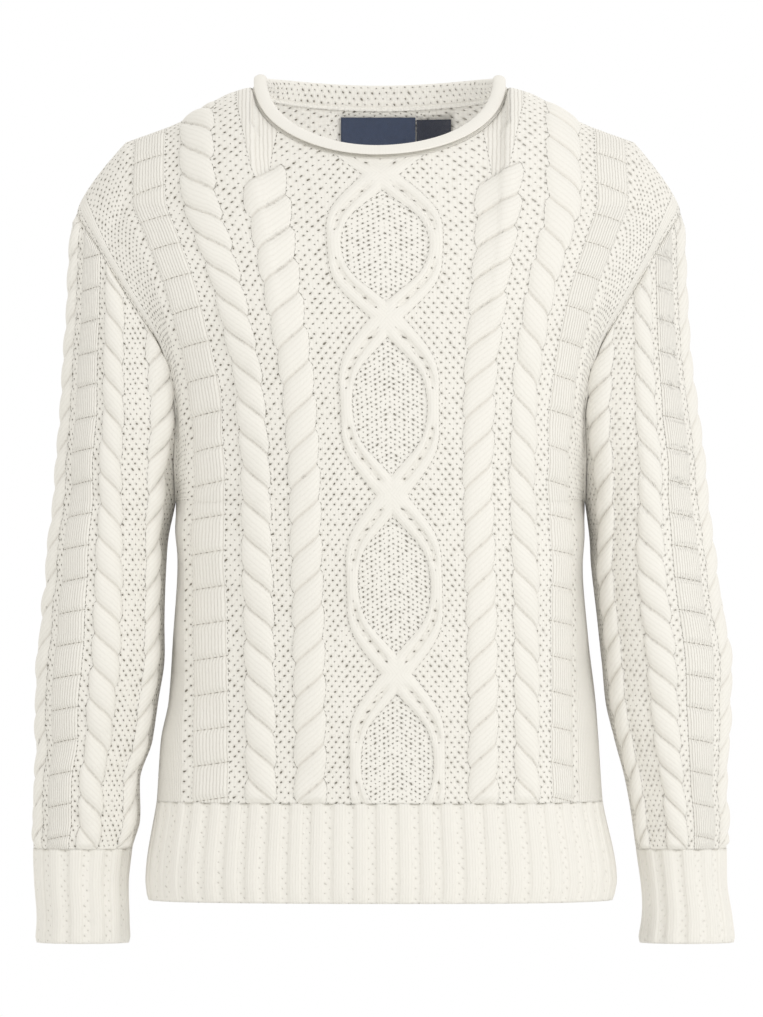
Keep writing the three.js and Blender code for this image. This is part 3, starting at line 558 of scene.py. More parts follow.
# %% [markdown]
# The knitting. A rope is a cord cut by S-shaped grooves. A ladder is a soft block between
# purl lines. The lattice is two ridges that part on the slants and join where they cross
# and where they turn. The same formulas run twice: on arrays, to raise the surface, and
# as shader nodes, to place each stitch. All lengths are in millimetres.

# %% Knitting
STITCH, COURSE, BORDER = 4.7, 3.9, 1.0
PURL_STEP, PURL_ROW = 6.4, 4.2
MOSS_STEP, MOSS_ROW = 7.4, 2.1
ROPE = dict(height=5.8, slant=0.6, groove=0.22, scallop=0.2)
LADDER_HEIGHT, LADDER_EASE = 2.8, 0.42
INNER_ROPE = dict(start=59, end=86, twist=1, pitch=29, last=-2)
OUTER_ROPE = dict(start=99, end=123, twist=-1, pitch=29)
BODY_LADDER = dict(start=135, end=161, pitch=29.4, slope=0.08)
PLAIN_SIDE = 168
LATTICE = dict(
    crossing=-187, pitch=148, top_pitch=124, reach=35.2, straight=3.3, half=10.2, turn_half=4.8,
    gap=2.3, height=4.2,
)
SELVEDGE = dict(start=5, end=17, height=1.6)
SLEEVE_HALF = 188
SLEEVE_ROPES = [
    dict(start=20, end=43, twist=-1, pitch=27),
    dict(start=87, end=112, twist=1, pitch=27),
    dict(start=135, end=158, twist=-1, pitch=27),
]
SLEEVE_LADDER = dict(start=51, end=80, pitch=27, slope=-0.08)
RIB_PITCH, RIB_HEIGHT, RIB_TURN = 18.0, 2.6, -0.45
WEDGE = dict(height=1.4, foot_course=-72, foot=0.2, length=90)
FAR = 9  # distance from a border at which nothing of it is drawn


class Knit:
    """Stitch place across and along; shares of purl, moss, purl line, border, groove and
    legs; on arrays also the height."""

    def __init__(self, across, along):
        self.raised = not isinstance(across, Shade)
        self.u = across
        self.v = along
        self.purl = 0 * across + 1
        self.moss = 0 * across
        self.line = 0 * across
        self.border = 0 * across
        self.groove = 0 * across
        self.legs = 0 * across + 1
        self.height = 0 * across

    def lay(self, where, height, u=None, v=None, purl=0.0, rim=None, legs=1.0):
        """Puts a motif over the ground where it applies; rim is the distance to its border."""
        where = where * 1.0
        self.border = self.border * (1 - where)
        if rim is not None:
            self.border = calc("MAXIMUM", self.border, 1 - clamp(abs(rim) / BORDER))
        if self.raised:
            self.height = lerp(self.height, height(), where)
        self.u = self.u if u is None else lerp(self.u, u, where)
        self.v = self.v if v is None else lerp(self.v, v, where)
        self.purl = lerp(self.purl, purl, where)
        self.legs = lerp(self.legs, legs, where)


def offset_in(band, place):
    """Place across a band, -1 and 1 at its edges."""
    middle, half = (band["start"] + band["end"]) / 2, (band["end"] - band["start"]) / 2
    return (place - middle) / half


def add_rope(knit, band, place, course, hand):
    """A cord's round section times plump lobes. An arcsine bends the grooves like an S, and
    the cord is slimmer where a groove meets its border. It may end at a groove, its last."""
    offset = offset_in(band, place)
    safe = clamp(offset, -1.0, 1.0)
    lean = calc("ARCSINE", safe) * (hand * (ROPE["slant"] * 2 / np.pi * band["twist"]))
    count = course / band["pitch"] - lean
    lobe = fract(count)
    from_crown = abs(2 * lobe - 1)
    slim = 1 - from_crown * from_crown * ROPE["scallop"]
    half = (band["end"] - band["start"]) / 2
    along = course * 0.6 + safe * hand * (0.9 * half * band["twist"])
    on = (count < band.get("last", 99)) * 1.0
    inside = (abs(offset) < slim) * on

    def height():
        swell = (1 - from_crown ** 2.6) ** 0.7
        section = np.sqrt(np.clip(1 - (offset / slim) ** 2, 0, 1))
        return ROPE["height"] * section * lerp(ROPE["groove"], 1, swell)

    rim = abs((abs(offset) - slim) * half) + FAR * (1 - on)
    knit.lay(inside, height, 3 * STITCH * lobe, along, rim=rim, legs=0.35)
    # The groove share sinks the bump and puts painted shade in the grooves.
    knit.groove = lerp(knit.groove, smooth(from_crown * 5 - 4), inside * 1.0)


def add_ladder(knit, band, place, course):
    """Puffed blocks between narrow purl lines, one line for each turn."""
    offset = offset_in(band, place)
    safe = clamp(offset, -1.0, 1.0)
    line = abs(calc("SINE", np.pi * (course / band["pitch"] + band["slope"] * safe)))

    def height():
        block = 0.1 + 0.9 * smooth(line / LADDER_EASE)
        return LADDER_HEIGHT * (1 - safe ** 6) * block

    where = (abs(offset) < 1) * 1.0
    knit.lay(where, height, rim=(abs(offset) - 1) * 15, legs=1.0)
    # The line share puts eyes and painted shade along each purl line.
    knit.line = (1 - clamp(line * (band["pitch"] / np.pi / BORDER))) * where


def add_lattice(knit, column, course):
    """The path is a straight line that bends to its reach, s over the sixth root of
    1 + s^6. A wide strand follows it, slimmer at the turns, with a purl gap on the slants."""
    travel = course - LATTICE["crossing"]
    below = calc("MINIMUM", travel / LATTICE["pitch"], 0.0)
    above = calc("MAXIMUM", travel / LATTICE["top_pitch"], 0.0)
    near = abs(fract(below + above + 0.5) - 0.5)
    run = near * LATTICE["straight"]
    bend = run ** 6.0 + 1
    swing = run / bend ** (1 / 6) * LATTICE["reach"]
    slope = bend ** (-7 / 6) * (LATTICE["straight"] * LATTICE["reach"] / LATTICE["pitch"])
    away = (abs(column) - swing) / calc("SQRT", slope * slope + 1)
    half = lerp(LATTICE["half"], LATTICE["turn_half"], smooth((near - 0.08) / 0.42))
    parted = smooth((near - 0.05) / 0.05) * smooth((0.43 - near) / 0.08)
    across = abs(away) / half

    def height():
        plateau = np.sqrt(np.clip(1 - across ** 2.6, 0, 1))
        return LATTICE["height"] * plateau * (1 - 0.9 * parted * np.exp(-((away / 2.6) ** 2)))

    inner = (away < 0) * (abs(column) < LATTICE["reach"])
    knit.moss = inner * (across > 1) * 1.0
    rim = (across - 1) * half
    knit.lay(across < 1, height, away, rim=rim, legs=0.25)
    in_gap = (abs(away) < parted * LATTICE["gap"]) * 1.0
    knit.purl = lerp(knit.purl, 1.0, in_gap)


def body_knit(column, course):
    """A panel's knitting by signed column and course. Above the underarm the side is purl
    with a slim plain selvedge beside the armhole."""
    place = abs(column)
    hand = calc("SIGN", column + 0.001)
    knit = Knit(place, course)

    def flat():
        return 0 * place

    def wedge():
        return WEDGE["height"] * np.sqrt(np.clip(1 - offset ** 2, 0, 1))

    knit.lay(place > PLAIN_SIDE, flat)
    add_ladder(knit, BODY_LADDER, place, course)
    rise = course - WEDGE["foot_course"]
    top = (rise > 0) * 1.0
    spread = clamp(rise / WEDGE["length"]) * (1 - WEDGE["foot"]) + WEDGE["foot"]
    offset = offset_in(INNER_ROPE, place) / spread
    rim = abs((abs(offset) - 1) * 9) + FAR * (1 - top)
    knit.lay((abs(offset) < 1) * top, wedge, rim=rim)
    add_rope(knit, INNER_ROPE, place, course, hand)
    add_rope(knit, OUTER_ROPE, place, course, hand)
    add_lattice(knit, column, course)
    purl_side = (place > STRIP_START) * (course > UNDERARM_Z)
    knit.purl = lerp(knit.purl, 1.0, purl_side * 1.0)
    from_seam = PANEL_EDGE - place
    from_edge = offset_in(SELVEDGE, from_seam)

    def selvedge():
        return SELVEDGE["height"] * np.sqrt(np.clip(1 - from_edge ** 2, 0, 1))

    rim = (abs(from_edge) - 1) * 6
    knit.lay((abs(from_edge) < 1) * purl_side, selvedge, from_seam, rim=rim, legs=0.5)
    return knit


def sleeve_knit(place, course):
    """A sleeve's knitting by signed place round it from its outer line."""
    around = abs(place)
    knit = Knit(around, course)
    add_ladder(knit, SLEEVE_LADDER, around, course)
    for band in SLEEVE_ROPES:
        add_rope(knit, band, around, course, calc("SIGN", place + 0.001))
    return knit


def rib_knit(place, course):
    """2x2 rib: a raised pair of stitches, then a sunk pair, by an eased cosine."""
    wave = calc("COSINE", place * (2 * np.pi / RIB_PITCH))
    knit = Knit(place, course)
    raised = (wave > RIB_TURN) * 1.0

    def height():
        return RIB_HEIGHT * smooth((wave + 0.85) / 1.3)

    knit.lay(raised * 0 + 1, height, purl=0.3 - 0.3 * raised, legs=0.4 * raised)
    return knit


def band_knit(place, course):
    """The neckband and its seam: plain knit."""
    knit = Knit(place, course)
    knit.lay(place > -1, lambda: 0 * place, legs=0.15)
    return knit


# %% [markdown]
# Soft creases. The cloth hangs nearly smooth, with a few slanting folds from the
# underarms, light rings above the cuffs and a little slack over the hem rib. Each row is
# one trough or ridge between two points, with its width and depth.

# %% Creases
CREASES = {
    "front": [
        (-168, -300, -112, -225, 13, -3.2), (-170, -330, -105, -300, 15, -2.6),
        (-165, -365, -120, -395, 16, 2.2), (168, -310, 118, -238, 14, -3.0),
        (171, -335, 110, -318, 14, -2.4), (164, -372, 126, -408, 17, 2.0),
        (-150, -560, -60, -566, 14, -1.8), (60, -572, 150, -556, 15, -1.7),
        (-175, -470, -140, -520, 18, -1.8), (176, -478, 146, -528, 18, -1.6),
        (-70, -95, -130, -130, 15, -1.5), (76, -98, 136, -134, 15, -1.5),
    ],
    "back": [
        (-168, -292, -104, -238, 15, -3.4), (166, -300, 108, -232, 14, -3.0),
        (-60, -60, 60, -62, 16, -1.6), (-150, -330, -80, -352, 17, 2.0),
        (152, -338, 84, -360, 18, 1.9), (-140, -500, -20, -520, 20, -2.4),
        (18, -486, 140, -512, 19, -2.2), (-120, -562, 110, -566, 15, -2.0),
    ],
    "sleeve": [
        (-70, -400, 60, -420, 15, -2.2), (-90, -455, 40, -438, 14, -1.8),
        (-30, -500, 110, -512, 15, -2.0), (-110, -540, 20, -556, 13, -2.0),
        (-20, -586, 120, -578, 12, -2.0), (-120, -606, 10, -610, 10, -1.8),
        (60, -330, 170, -372, 17, -2.6), (-60, -330, -170, -368, 17, -2.6),
        (90, -270, 150, -330, 15, -1.8), (-90, -262, -150, -322, 15, -1.8),
    ],
}


def crease_height(across, along, rows):
    """Sum of soft folds: depth times a bell of the distance from each short line."""
    total = np.zeros(across.shape)
    for x0, z0, x1, z1, width, depth in rows:
        run = np.array([x1 - x0, z1 - z0], float)
        share = ((across - x0) * run[0] + (along - z0) * run[1]) / (run @ run)
        near = np.clip(share, 0, 1)
        gap = np.hypot(across - x0 - near * run[0], along - z0 - near * run[1])
        total += depth * np.exp(-(gap / width) ** 2)
    return total


# %% [markdown]
# From surface to wall. The outside carries the relief at about 1.7 mm between points.
# The inside is plain, so it has one point for four, and a rim of fans joins the two.

# %% Wall builder
INSIDE_STEP = 4


def normals_of(grid, closed, outward):
    """Unit cross product of the two grid directions, turned to agree with outward."""
    if closed:
        wrapped = np.concatenate([grid[:, -1:], grid, grid[:, :1]], 1)
        across = (wrapped[:, 2:] - wrapped[:, :-2]) / 2
    else:
        across = np.gradient(grid, axis=1)
    normal = np.cross(across, np.gradient(grid, axis=0))
    normal /= np.maximum(np.linalg.norm(normal, axis=-1, keepdims=True), 1e-9)
    facing = np.sign((normal * outward).sum(-1, keepdims=True))
    return normal * np.where(facing == 0, 1, facing)


def flatten(normals, axis):
    """Takes one axis out of normals and brings them back to unit length."""
    normals[..., axis] = 0
    normals /= np.maximum(np.linalg.norm(normals, axis=-1, keepdims=True), 1e-9)


def sheet_faces(index, closed, flipped):
    """Four corners of every cell of a grid of indices."""
    if closed:
        index = np.concatenate([index, index[:, :1]], 1)
    faces = np.stack([index[:-1, :-1], index[:-1, 1:], index[1:, 1:], index[1:, :-1]], -1).reshape(-1, 4)
    return faces[:, ::-1] if flipped else faces


def rim_faces(fine, coarse, every):
    """Fans between a fine edge and one with every n-th point; both run the same way."""
    k = np.arange(len(fine) - 1)
    fans = np.stack([fine[k + 1], fine[k], coarse[k // every]], -1)
    m = np.arange(len(coarse) - 1)
    fills = np.stack([fine[(m + 1) * every], coarse[m], coarse[m + 1]], -1)
    return np.concatenate([fans, fills])


def build_wall(name, outer, inner, place, course, wrap=0.0):
    """Mesh of a wall: fine outside, coarse inside and rims. A wrap closes it to a tube."""
    every, closed = INSIDE_STEP, wrap > 0
    rows, width = outer.shape[:2]
    out = np.arange(rows * width).reshape(rows, width)
    picked = np.ix_(np.arange(0, rows, every), np.arange(0, width, every))
    inside = inner[picked]
    ins = rows * width + np.arange(inside.shape[0] * inside.shape[1]).reshape(inside.shape[:2])
    quads = [sheet_faces(out, closed, False), sheet_faces(ins, closed, True)]
    if closed:
        outs = np.concatenate([out, out[:, :1]], 1)
        inns = np.concatenate([ins, ins[:, :1]], 1)
        rims = [
            rim_faces(outs[0], inns[0], every),
            rim_faces(outs[-1][::-1], inns[-1][::-1], every),
        ]
    else:
        rims = [
            rim_faces(out[0], ins[0], every),
            rim_faces(out[:, -1], ins[:, -1], every),
            rim_faces(out[-1][::-1], ins[-1][::-1], every),
            rim_faces(out[::-1, 0], ins[::-1, 0], every),
        ]
    points = np.concatenate([outer.reshape(-1, 3), inside.reshape(-1, 3)]) * MM
    spread = [np.concatenate([field.reshape(-1), field[picked].reshape(-1)]) for field in (place, course)]
    shares = np.repeat([0.0, 1.0], [rows * width, inside.shape[0] * inside.shape[1]])
    faces = np.concatenate(quads), np.concatenate(rims)
    return build_mesh(name, points, *faces, *spread, shares, wrap)


def build_mesh(name, points, quads, triangles, place, course, inside, wrap=0.0):
    """Fills a mesh from arrays and turns it outwards where its volume is negative. Where a
    face spans the end of a tube's places, the low corners go up by the whole wrap."""
    def volume_of(faces):
        a = points[faces[:, 0]]
        total = 0.0
        for k in range(1, faces.shape[1] - 1):
            total += np.einsum("ij,ij->", a, np.cross(points[faces[:, k]], points[faces[:, k + 1]]))
        return total

    if volume_of(quads) + (volume_of(triangles) if len(triangles) else 0) < 0:
        quads, triangles = quads[:, ::-1], triangles[:, ::-1]
    loops = np.concatenate([quads.reshape(-1), triangles.reshape(-1)]).astype(np.int32)
    sizes = np.concatenate([np.full(len(quads), 4), np.full(len(triangles), 3)])
    starts = np.concatenate([[0], np.cumsum(sizes)[:-1]]).astype(np.int32)
    mesh = bpy.data.meshes.new(name)
    mesh.vertices.add(len(points))
    mesh.vertices.foreach_set("co", points.reshape(-1))
    mesh.loops.add(len(loops))
    mesh.loops.foreach_set("vertex_index", loops)
    mesh.polygons.add(len(sizes))
    mesh.polygons.foreach_set("loop_start", starts)
    mesh.update(calc_edges=True)
    mesh.validate()
    stitches = mesh.uv_layers.new(name="stitches")
    where = np.empty(len(mesh.loops), np.int32)
    mesh.loops.foreach_get("vertex_index", where)
    starts = np.empty(len(mesh.polygons), np.int32)
    mesh.polygons.foreach_get("loop_start", starts)
    across = place[where]
    if wrap:
        counts = np.diff(np.append(starts, len(where)))
        highest = np.repeat(np.maximum.reduceat(across, starts), counts)
        across = across + wrap * (highest - across > wrap / 2)
    stitches.data.foreach_set("uv", np.stack([across, course[where]], -1).reshape(-1).astype(np.float32))
    layer = mesh.attributes.new("inside", "FLOAT", "POINT")
    layer.data.foreach_set("value", inside.astype(np.float32))
    mesh.shade_smooth()
    piece = bpy.data.objects.new(name, mesh)
    bpy.context.scene.collection.objects.link(piece)
    print(name, "triangles", int((sizes - 2).sum()))
    return piece


# %% [markdown]
# The yarn's finish. Smooth matt cotton, ivory and nearly white. Plain stitches show as
# slim legs in pairs, purl and moss stitches as rows of small eyes between the loops.
# Eyes also run along the purl lines and the cables' borders. Loops and eyes drive a bump.
# The eyes are darkened with painted shade, and a lighter painted shade lies in the creases
# between the legs, in the purl lines and cable grooves and round each eye. Towards the key
# light, where it falls into them, the painted shade of the eyes is paler.

# %% Knit finish
# Yarn colour, the painted shade in creases and hollows, and the darker painted shade in the eyes.
YARN_LIGHT, YARN_PAINTED_SHADE, YARN_EYE_SHADE = "#f7f5f0", "#d3ccbf", "#787163"
YARN_SURFACE = {"Roughness": 0.9, "Specular IOR Level": 0.2, "Sheen Weight": 0.15, "Sheen Roughness": 0.6}
LOOP_DEPTH = 0.0009
LIT_SIDE = 0.5
EYE, MOSS_EYE, LINE_EYE = 0.84, 0.85, 4.3


def eyes(u, v, step, row, stagger, alternate, radius):
    """Masks of rows of round eyes and of the soft hollow around each; they sink the bump and
    place the painted shade. White noise gives each its own size, and alternate makes every
    second row smaller."""
    line = calc("FLOOR", v / row)
    across = u / step + line * stagger
    cell = node(u.tree, "ShaderNodeCombineXYZ", {0: calc("FLOOR", across).socket, 1: line.socket})
    draw = node(u.tree, "ShaderNodeTexWhiteNoise", {"Vector": cell.outputs[0]})
    luck = Shade(u.tree, draw.outputs["Value"])
    above = (fract(v / row) - 0.5) * row
    aside = (fract(across) - 0.5) * step + above * 0.3
    size = lerp(0.35, 1.15, luck) * (1 - fract(line * 0.5) * (2 * alternate)) * radius
    away = calc("SQRT", aside * aside + above * above) / size
    return smooth(1.3 - away), smooth(1.5 - away * 0.5)


def leg_shape(u, v):
    """Plain knit: each stitch is two legs with a hump across, broken into slanted loops."""
    leg = fract(u / (STITCH / 2))
    hump = 1 - abs(2 * leg - 1) ** 3.0
    slant = abs(2 * fract(u / STITCH) - 1) * 0.62
    loop = 1 - abs(2 * fract(v / COURSE - slant) - 1) ** 4.0
    return hump * lerp(0.8, 1.0, loop)


def yarn_material(name, pattern):
    """Cotton yarn in a knitting pattern, drawn from the mesh's own stitch places."""
    material = bpy.data.materials.new(name)
    material.use_nodes = True
    tree = material.node_tree
    shader = tree.nodes["Principled BSDF"]
    for key, value in YARN_SURFACE.items():
        shader.inputs[key].default_value = value
    places = node(tree, "ShaderNodeUVMap", uv_map="stitches").outputs[0]
    split = node(tree, "ShaderNodeSeparateXYZ", {"Vector": places})
    coordinates = node(tree, "ShaderNodeTexCoord").outputs["Object"]
    inside = Shade(tree, node(tree, "ShaderNodeAttribute", attribute_name="inside").outputs["Fac"])
    inside = inside > 0.5

    def noise(scale, detail):
        settings = {"Vector": coordinates, "Scale": scale, "Detail": detail}
        return Shade(tree, node(tree, "ShaderNodeTexNoise", settings).outputs["Fac"])

    knit = pattern(Shade(tree, split.outputs["X"]), Shade(tree, split.outputs["Y"]))
    wander = (noise(170.0, 2.0) - 0.5) * 3.6
    u, v = knit.u + wander, knit.v - wander
    purl = calc("MAXIMUM", knit.purl, inside)
    legs = leg_shape(knit.u + wander * 0.25, v)
    purl_ground = purl * (1 - knit.moss)
    dots, hollows = eyes(u, v, PURL_STEP, PURL_ROW, 0.5, 0.0, EYE)
    moss, moss_hollows = eyes(u, v, MOSS_STEP, MOSS_ROW, 0.5, 0.3, MOSS_EYE)
    dots = dots * purl_ground + moss * knit.moss
    hollows = hollows * purl_ground + moss_hollows * knit.moss
    along_line = abs(calc("SINE", u * (np.pi / LINE_EYE))) * knit.line
    along_border = abs(calc("SINE", v * (np.pi / LINE_EYE))) * knit.border * (1 - inside)
    seams = smooth(calc("MAXIMUM", along_line, along_border) * 2.2 - 1.2)
    # Eyes: holes between the loops, which sink the bump and take the dark painted shade of the eye colour.
    shaded_holes = calc("MAXIMUM", dots, seams * 0.65)
    ribbing = (1 - legs) * (1 - purl) * knit.legs
    # Lighter painted shade in the creases between legs, purl lines, cable grooves and the hollows round the
    # eyes.
    painted_shade = ribbing * 0.32 + knit.line * 0.3 + knit.groove * 0.22 + hollows * 0.12
    painted_shade = painted_shade + (1 - legs) * purl_ground * 0.16
    # Painted light: the eyes' painted shade is paler towards the key light's side, along x.
    lit = Shade(tree, node(tree, "ShaderNodeSeparateXYZ", {"Vector": coordinates}).outputs["X"])
    seen = 1 - smooth(lit * 3.0 + 0.3) * LIT_SIDE
    height = noise(900.0, 3.0) * 0.15 - ribbing * 0.5 - hollows * 0.5 - shaded_holes - knit.groove * 0.5
    bump = node(tree, "ShaderNodeBump", {"Height": height.socket, "Strength": 1.0, "Distance": LOOP_DEPTH})
    # The yarn colour takes the painted crease shade, then the painted shade of the eyes.
    ground = node(tree, "ShaderNodeMix", {6: linear(YARN_LIGHT), 7: linear(YARN_PAINTED_SHADE),
                                          0: clamp(painted_shade).socket}, data_type="RGBA")
    colour = node(tree, "ShaderNodeMix", {6: ground.outputs[2], 7: linear(YARN_EYE_SHADE),
                                          0: (clamp(shaded_holes) * seen).socket}, data_type="RGBA")
    value = noise(9.0, 2.0) * 0.05 + 0.965
    toned = node(tree, "ShaderNodeHueSaturation", {"Color": colour.outputs[2], "Value": value.socket})
    tree.links.new(toned.outputs[0], shader.inputs["Base Color"])
    tree.links.new(bump.outputs[0], shader.inputs["Normal"])
    print("finish", name, "nodes", len(tree.nodes))
    return material


body_yarn = yarn_material("cotton yarn, ivory, cabled body", body_knit)
sleeve_yarn = yarn_material("cotton yarn, ivory, cabled sleeve", sleeve_knit)
rib_yarn = yarn_material("cotton yarn, ivory, 2x2 rib", rib_knit)
band_yarn = yarn_material("cotton yarn, ivory, plain neckband", band_knit)


# %% [markdown]
# Front and back. The panels have most of their points between the side strips, where the
# cables are, and fewer at the sides.

# %% Front and back
LOWER, UPPER = 136, 193
FACE_COLUMNS, STRIP_COLUMNS = 104, 24
SHOULDER_FADE = 12


def panel_columns():
    """Signed columns, even in the face and wider apart in the side strips."""
    face = np.linspace(0, STRIP_START, FACE_COLUMNS, endpoint=False)
    strip = np.linspace(STRIP_START, PANEL_EDGE, STRIP_COLUMNS + 1)
    half = np.concatenate([face, strip])
    return np.concatenate([-half[:0:-1], half])


def edge_fade(shape, steps, last=None, closed=False):
    """Relief share near a wall's edges: 0 on the edge, 1 some steps in. The last row may
    have its own number of steps."""
    rows = np.arange(shape[0])
    fade = (smooth(rows / steps) * smooth(rows[::-1] / (last or steps)))[:, None] * np.ones(shape)
    if closed:
        return fade
    columns = np.minimum(np.arange(shape[1]), np.arange(shape[1])[::-1])
    return fade * smooth(columns / steps)[None, :]


def make_panel(face):
    """One body panel as a wall with its knitting."""
    columns = panel_columns()
    base, course, column = panel_surface(face, columns, LOWER, UPPER)
    outward = base * np.array([1, 1.4, 0.4]) + np.array([0, 0, 120])
    normals = normals_of(base, False, outward)
    flatten(normals[0], 2)
    shoulder = np.abs(columns) > STATIONS[2]
    top = normals[-1, shoulder]
    flatten(top, 1)
    normals[-1, shoulder] = top
    for edge in (0, -1):
        side_edge = normals[:LOWER, edge]
        flatten(side_edge, 1)
    knit = body_knit(column, course)
    fold = crease_height(base[..., 0], base[..., 2], CREASES[face]) * edge_fade(base.shape[:2], 12)
    lift = knit.height * edge_fade(base.shape[:2], 3, SHOULDER_FADE) + fold
    outer = base + normals * lift[..., None]
    inner = base + normals * (fold - WALL)[..., None]
    piece = build_wall(face + "_panel", outer, inner, column, course)
    piece.data.materials.append(body_yarn)
    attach(piece, "root")
    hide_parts(face)
    return piece


front_panel = make_panel("front")
back_panel = make_panel("back")


# %% [markdown]
# Sleeves. Each is a tube from the armhole seam to the cuff. Its columns are places round
# the ellipse, measured from the outer line. Towards the shoulder they lean outwards, as
# in the photograph: the lean eases in with height and grows with the square of the place.

# %% Sleeves
SLEEVE_ROWS, SLEEVE_AROUND = 253, 232
LEAN_OUT = dict(amount=36, foot=-430, run=270, whole=100)


def arc_places(ratio=0.78):
    """Angle against place round half of an ellipse of that shape."""
    degrees = np.linspace(0, 180, 721)
    middle = np.radians((degrees[1:] + degrees[:-1]) / 2)
    steps = np.hypot(ratio * np.sin(middle), np.cos(middle))
    lengths = np.concatenate([[0], np.cumsum(steps)])
    return degrees, SLEEVE_HALF * lengths / lengths[-1]


ARC_DEGREES, ARC_PLACES = arc_places()


def make_sleeve(name):
    """One sleeve as a closed tube with its knitting."""
    side = SIDES[name]
    share = np.linspace(0, 2, SLEEVE_AROUND, endpoint=False)
    face = np.where(share <= 1, 1, -1)
    around = np.where(share <= 1, share, 2 - share)
    start = np.interp(1 - around, side["arm_share"], side["arm_degrees"])
    target = np.interp(around * SLEEVE_HALF, ARC_PLACES, ARC_DEGREES)
    down = np.linspace(0, 1, SLEEVE_ROWS)[:, None]
    top = armhole_z(start)[None, :]
    z = lerp(top, SLEEVE_END_Z + GAP / 2, down)
    slide_from = lerp(armhole_z(start), UNDERARM_Z, smooth((start - 95) / 50))[None, :]
    degrees = lerp(start[None, :], target[None, :], smooth((slide_from - z) / 130))
    base = tube(side, degrees, z)
    base[..., 1] *= face
    base[0, :, 2] -= GAP
    middle = side["sign"] * side["middle"](z)
    outward = stack(base[..., 0] - middle, base[..., 1], 0 * z)
    normals = normals_of(base, True, outward)
    flatten(normals[-1], 2)
    place = np.interp(degrees, ARC_DEGREES, ARC_PLACES)
    lean = LEAN_OUT["amount"] * smooth((z - LEAN_OUT["foot"]) / LEAN_OUT["run"])
    lean = lean * np.minimum(place / LEAN_OUT["whole"], 1) ** 2 * smooth((SLEEVE_HALF - place) / 30)
    place = np.minimum(place + lean, SLEEVE_HALF) * face * side["sign"]
    knit = sleeve_knit(place, z)
    fold = crease_height(place, z, CREASES["sleeve"]) * edge_fade(base.shape[:2], 12, closed=True)
    lift = knit.height * edge_fade(base.shape[:2], 3, closed=True) + fold
    outer = base + normals * lift[..., None]
    inner = base + normals * (fold - WALL)[..., None]
    piece = build_wall("sleeve_" + name + "_knit", outer, inner, place, z, 2 * SLEEVE_HALF)
    piece.data.materials.append(sleeve_yarn)
    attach(piece, "root")
    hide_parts("sleeve_" + name)
    return piece


sleeves = [make_sleeve(name) for name in SIDES]

# %% [markdown]
# Ribs. Hem and cuffs are 2x2 rib, 18 mm from one pair to the next. The hem's two halves
# follow the panels' own level sections, and the cuffs follow the sleeve tubes. Each rib
# sinks towards its top, so the cloth above stands a little over it.

# %% Hem and cuffs
HEM_RIBS, CUFF_RIBS, RIB_POINTS = 28, 13, 12
HEM_SINK, CUFF_SINK = 2.6, 2.2


def level_section(face, z, count):
    """A panel's level section at height z, as evenly spaced points."""
    columns = np.linspace(-PANEL_EDGE, PANEL_EDGE, 929)
    seam_y = -GAP / 2 if face == "front" else GAP / 2
    rows = []
    for name, chosen in (("right", columns[columns < 0]), ("left", columns[columns >= 0])):
        side, place = SIDES[name], np.abs(chosen)
        heights = np.full(len(chosen), float(z))
        inner = face_point(face, side, np.minimum(place, STRIP_START), heights, 0 * heights)
        edge = stack(side["sign"] * edge_at(side, heights)[0], seam_y, heights)
        across = np.clip((place - STRIP_START) / (PANEL_EDGE - STRIP_START), 0, 1)
        rows.append(round_side(inner, edge, across, 0))
    line = np.concatenate(rows)
    length = lengths_along(line)
    target = np.linspace(0, length[-1], count)
    return np.stack([np.interp(target, length, line[:, k]) for k in range(3)], -1)


def rib_wall(name, base, normals, place, sink, wrap=0.0):
    """Raises ribs on a base grid and builds the wall. It sinks by the square of the height."""
    sunk = sink * np.linspace(0, 1, len(base))[:, None] ** 2 + 0 * place
    course = base[..., 2]
    knit = rib_knit(place, course)
    round_off = smooth(np.arange(len(base)) / 2)[:, None]
    outer = base + normals * (knit.height * lerp(0.55, 1, round_off) - sunk)[..., None]
    inner = base - normals * (WALL + sunk)[..., None]
    piece = build_wall(name, outer, inner, place, course, wrap)
    piece.data.materials.append(rib_yarn)
    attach(piece, "root")
    return piece


def make_hem(face):
    """Half of the hem rib, from side seam to side seam."""
    heights = np.linspace(HEM_Z, HEM_RIB_TOP + GAP / 2, 37)
    count = HEM_RIBS * RIB_POINTS + 1
    base = np.stack([level_section(face, z, count) for z in heights])
    normals = normals_of(base, False, base * np.array([1, 1.4, 0]))
    flatten(normals, 2)
    for edge in (0, -1):
        side_edge = normals[:, edge]
        flatten(side_edge, 1)
    place = np.linspace(0, HEM_RIBS * RIB_PITCH, count)[None, :] * np.ones((len(heights), 1))
    piece = rib_wall("hem_" + face + "_rib", base, normals, place, HEM_SINK)
    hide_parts("hem_rib_" + face)
    return piece


def make_cuff(name):
    """One cuff rib round the sleeve's end."""
    side = SIDES[name]
    heights = np.linspace(CUFF_END_Z, SLEEVE_END_Z + GAP / 2, 37)[:, None]
    count = CUFF_RIBS * RIB_POINTS
    degrees = np.linspace(0, 360, count, endpoint=False)[None, :]
    base = tube(side, degrees, heights)
    middle = side["sign"] * side["middle"](heights)
    normals = normals_of(base, True, stack(base[..., 0] - middle, base[..., 1], 0 * base[..., 2]))
    flatten(normals, 2)
    wrap = CUFF_RIBS * RIB_PITCH
    place = np.linspace(0, wrap, count, endpoint=False)[None, :] * np.ones((len(heights), 1))
    piece = rib_wall("cuff_" + name + "_rib", base, normals, place, CUFF_SINK, wrap)
    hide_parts("cuff_" + name)
    return piece


ribs = [make_hem(face) for face in ("front", "back")] + [make_cuff(name) for name in SIDES]

# %% [markdown]
# The neckband rises from the neckline, leans in and rolls outwards in one fat roll, so its
# purl side shows inside. Its section is a hook, drawn as a smooth closed line through a
# few points and swept round the neck by angle.

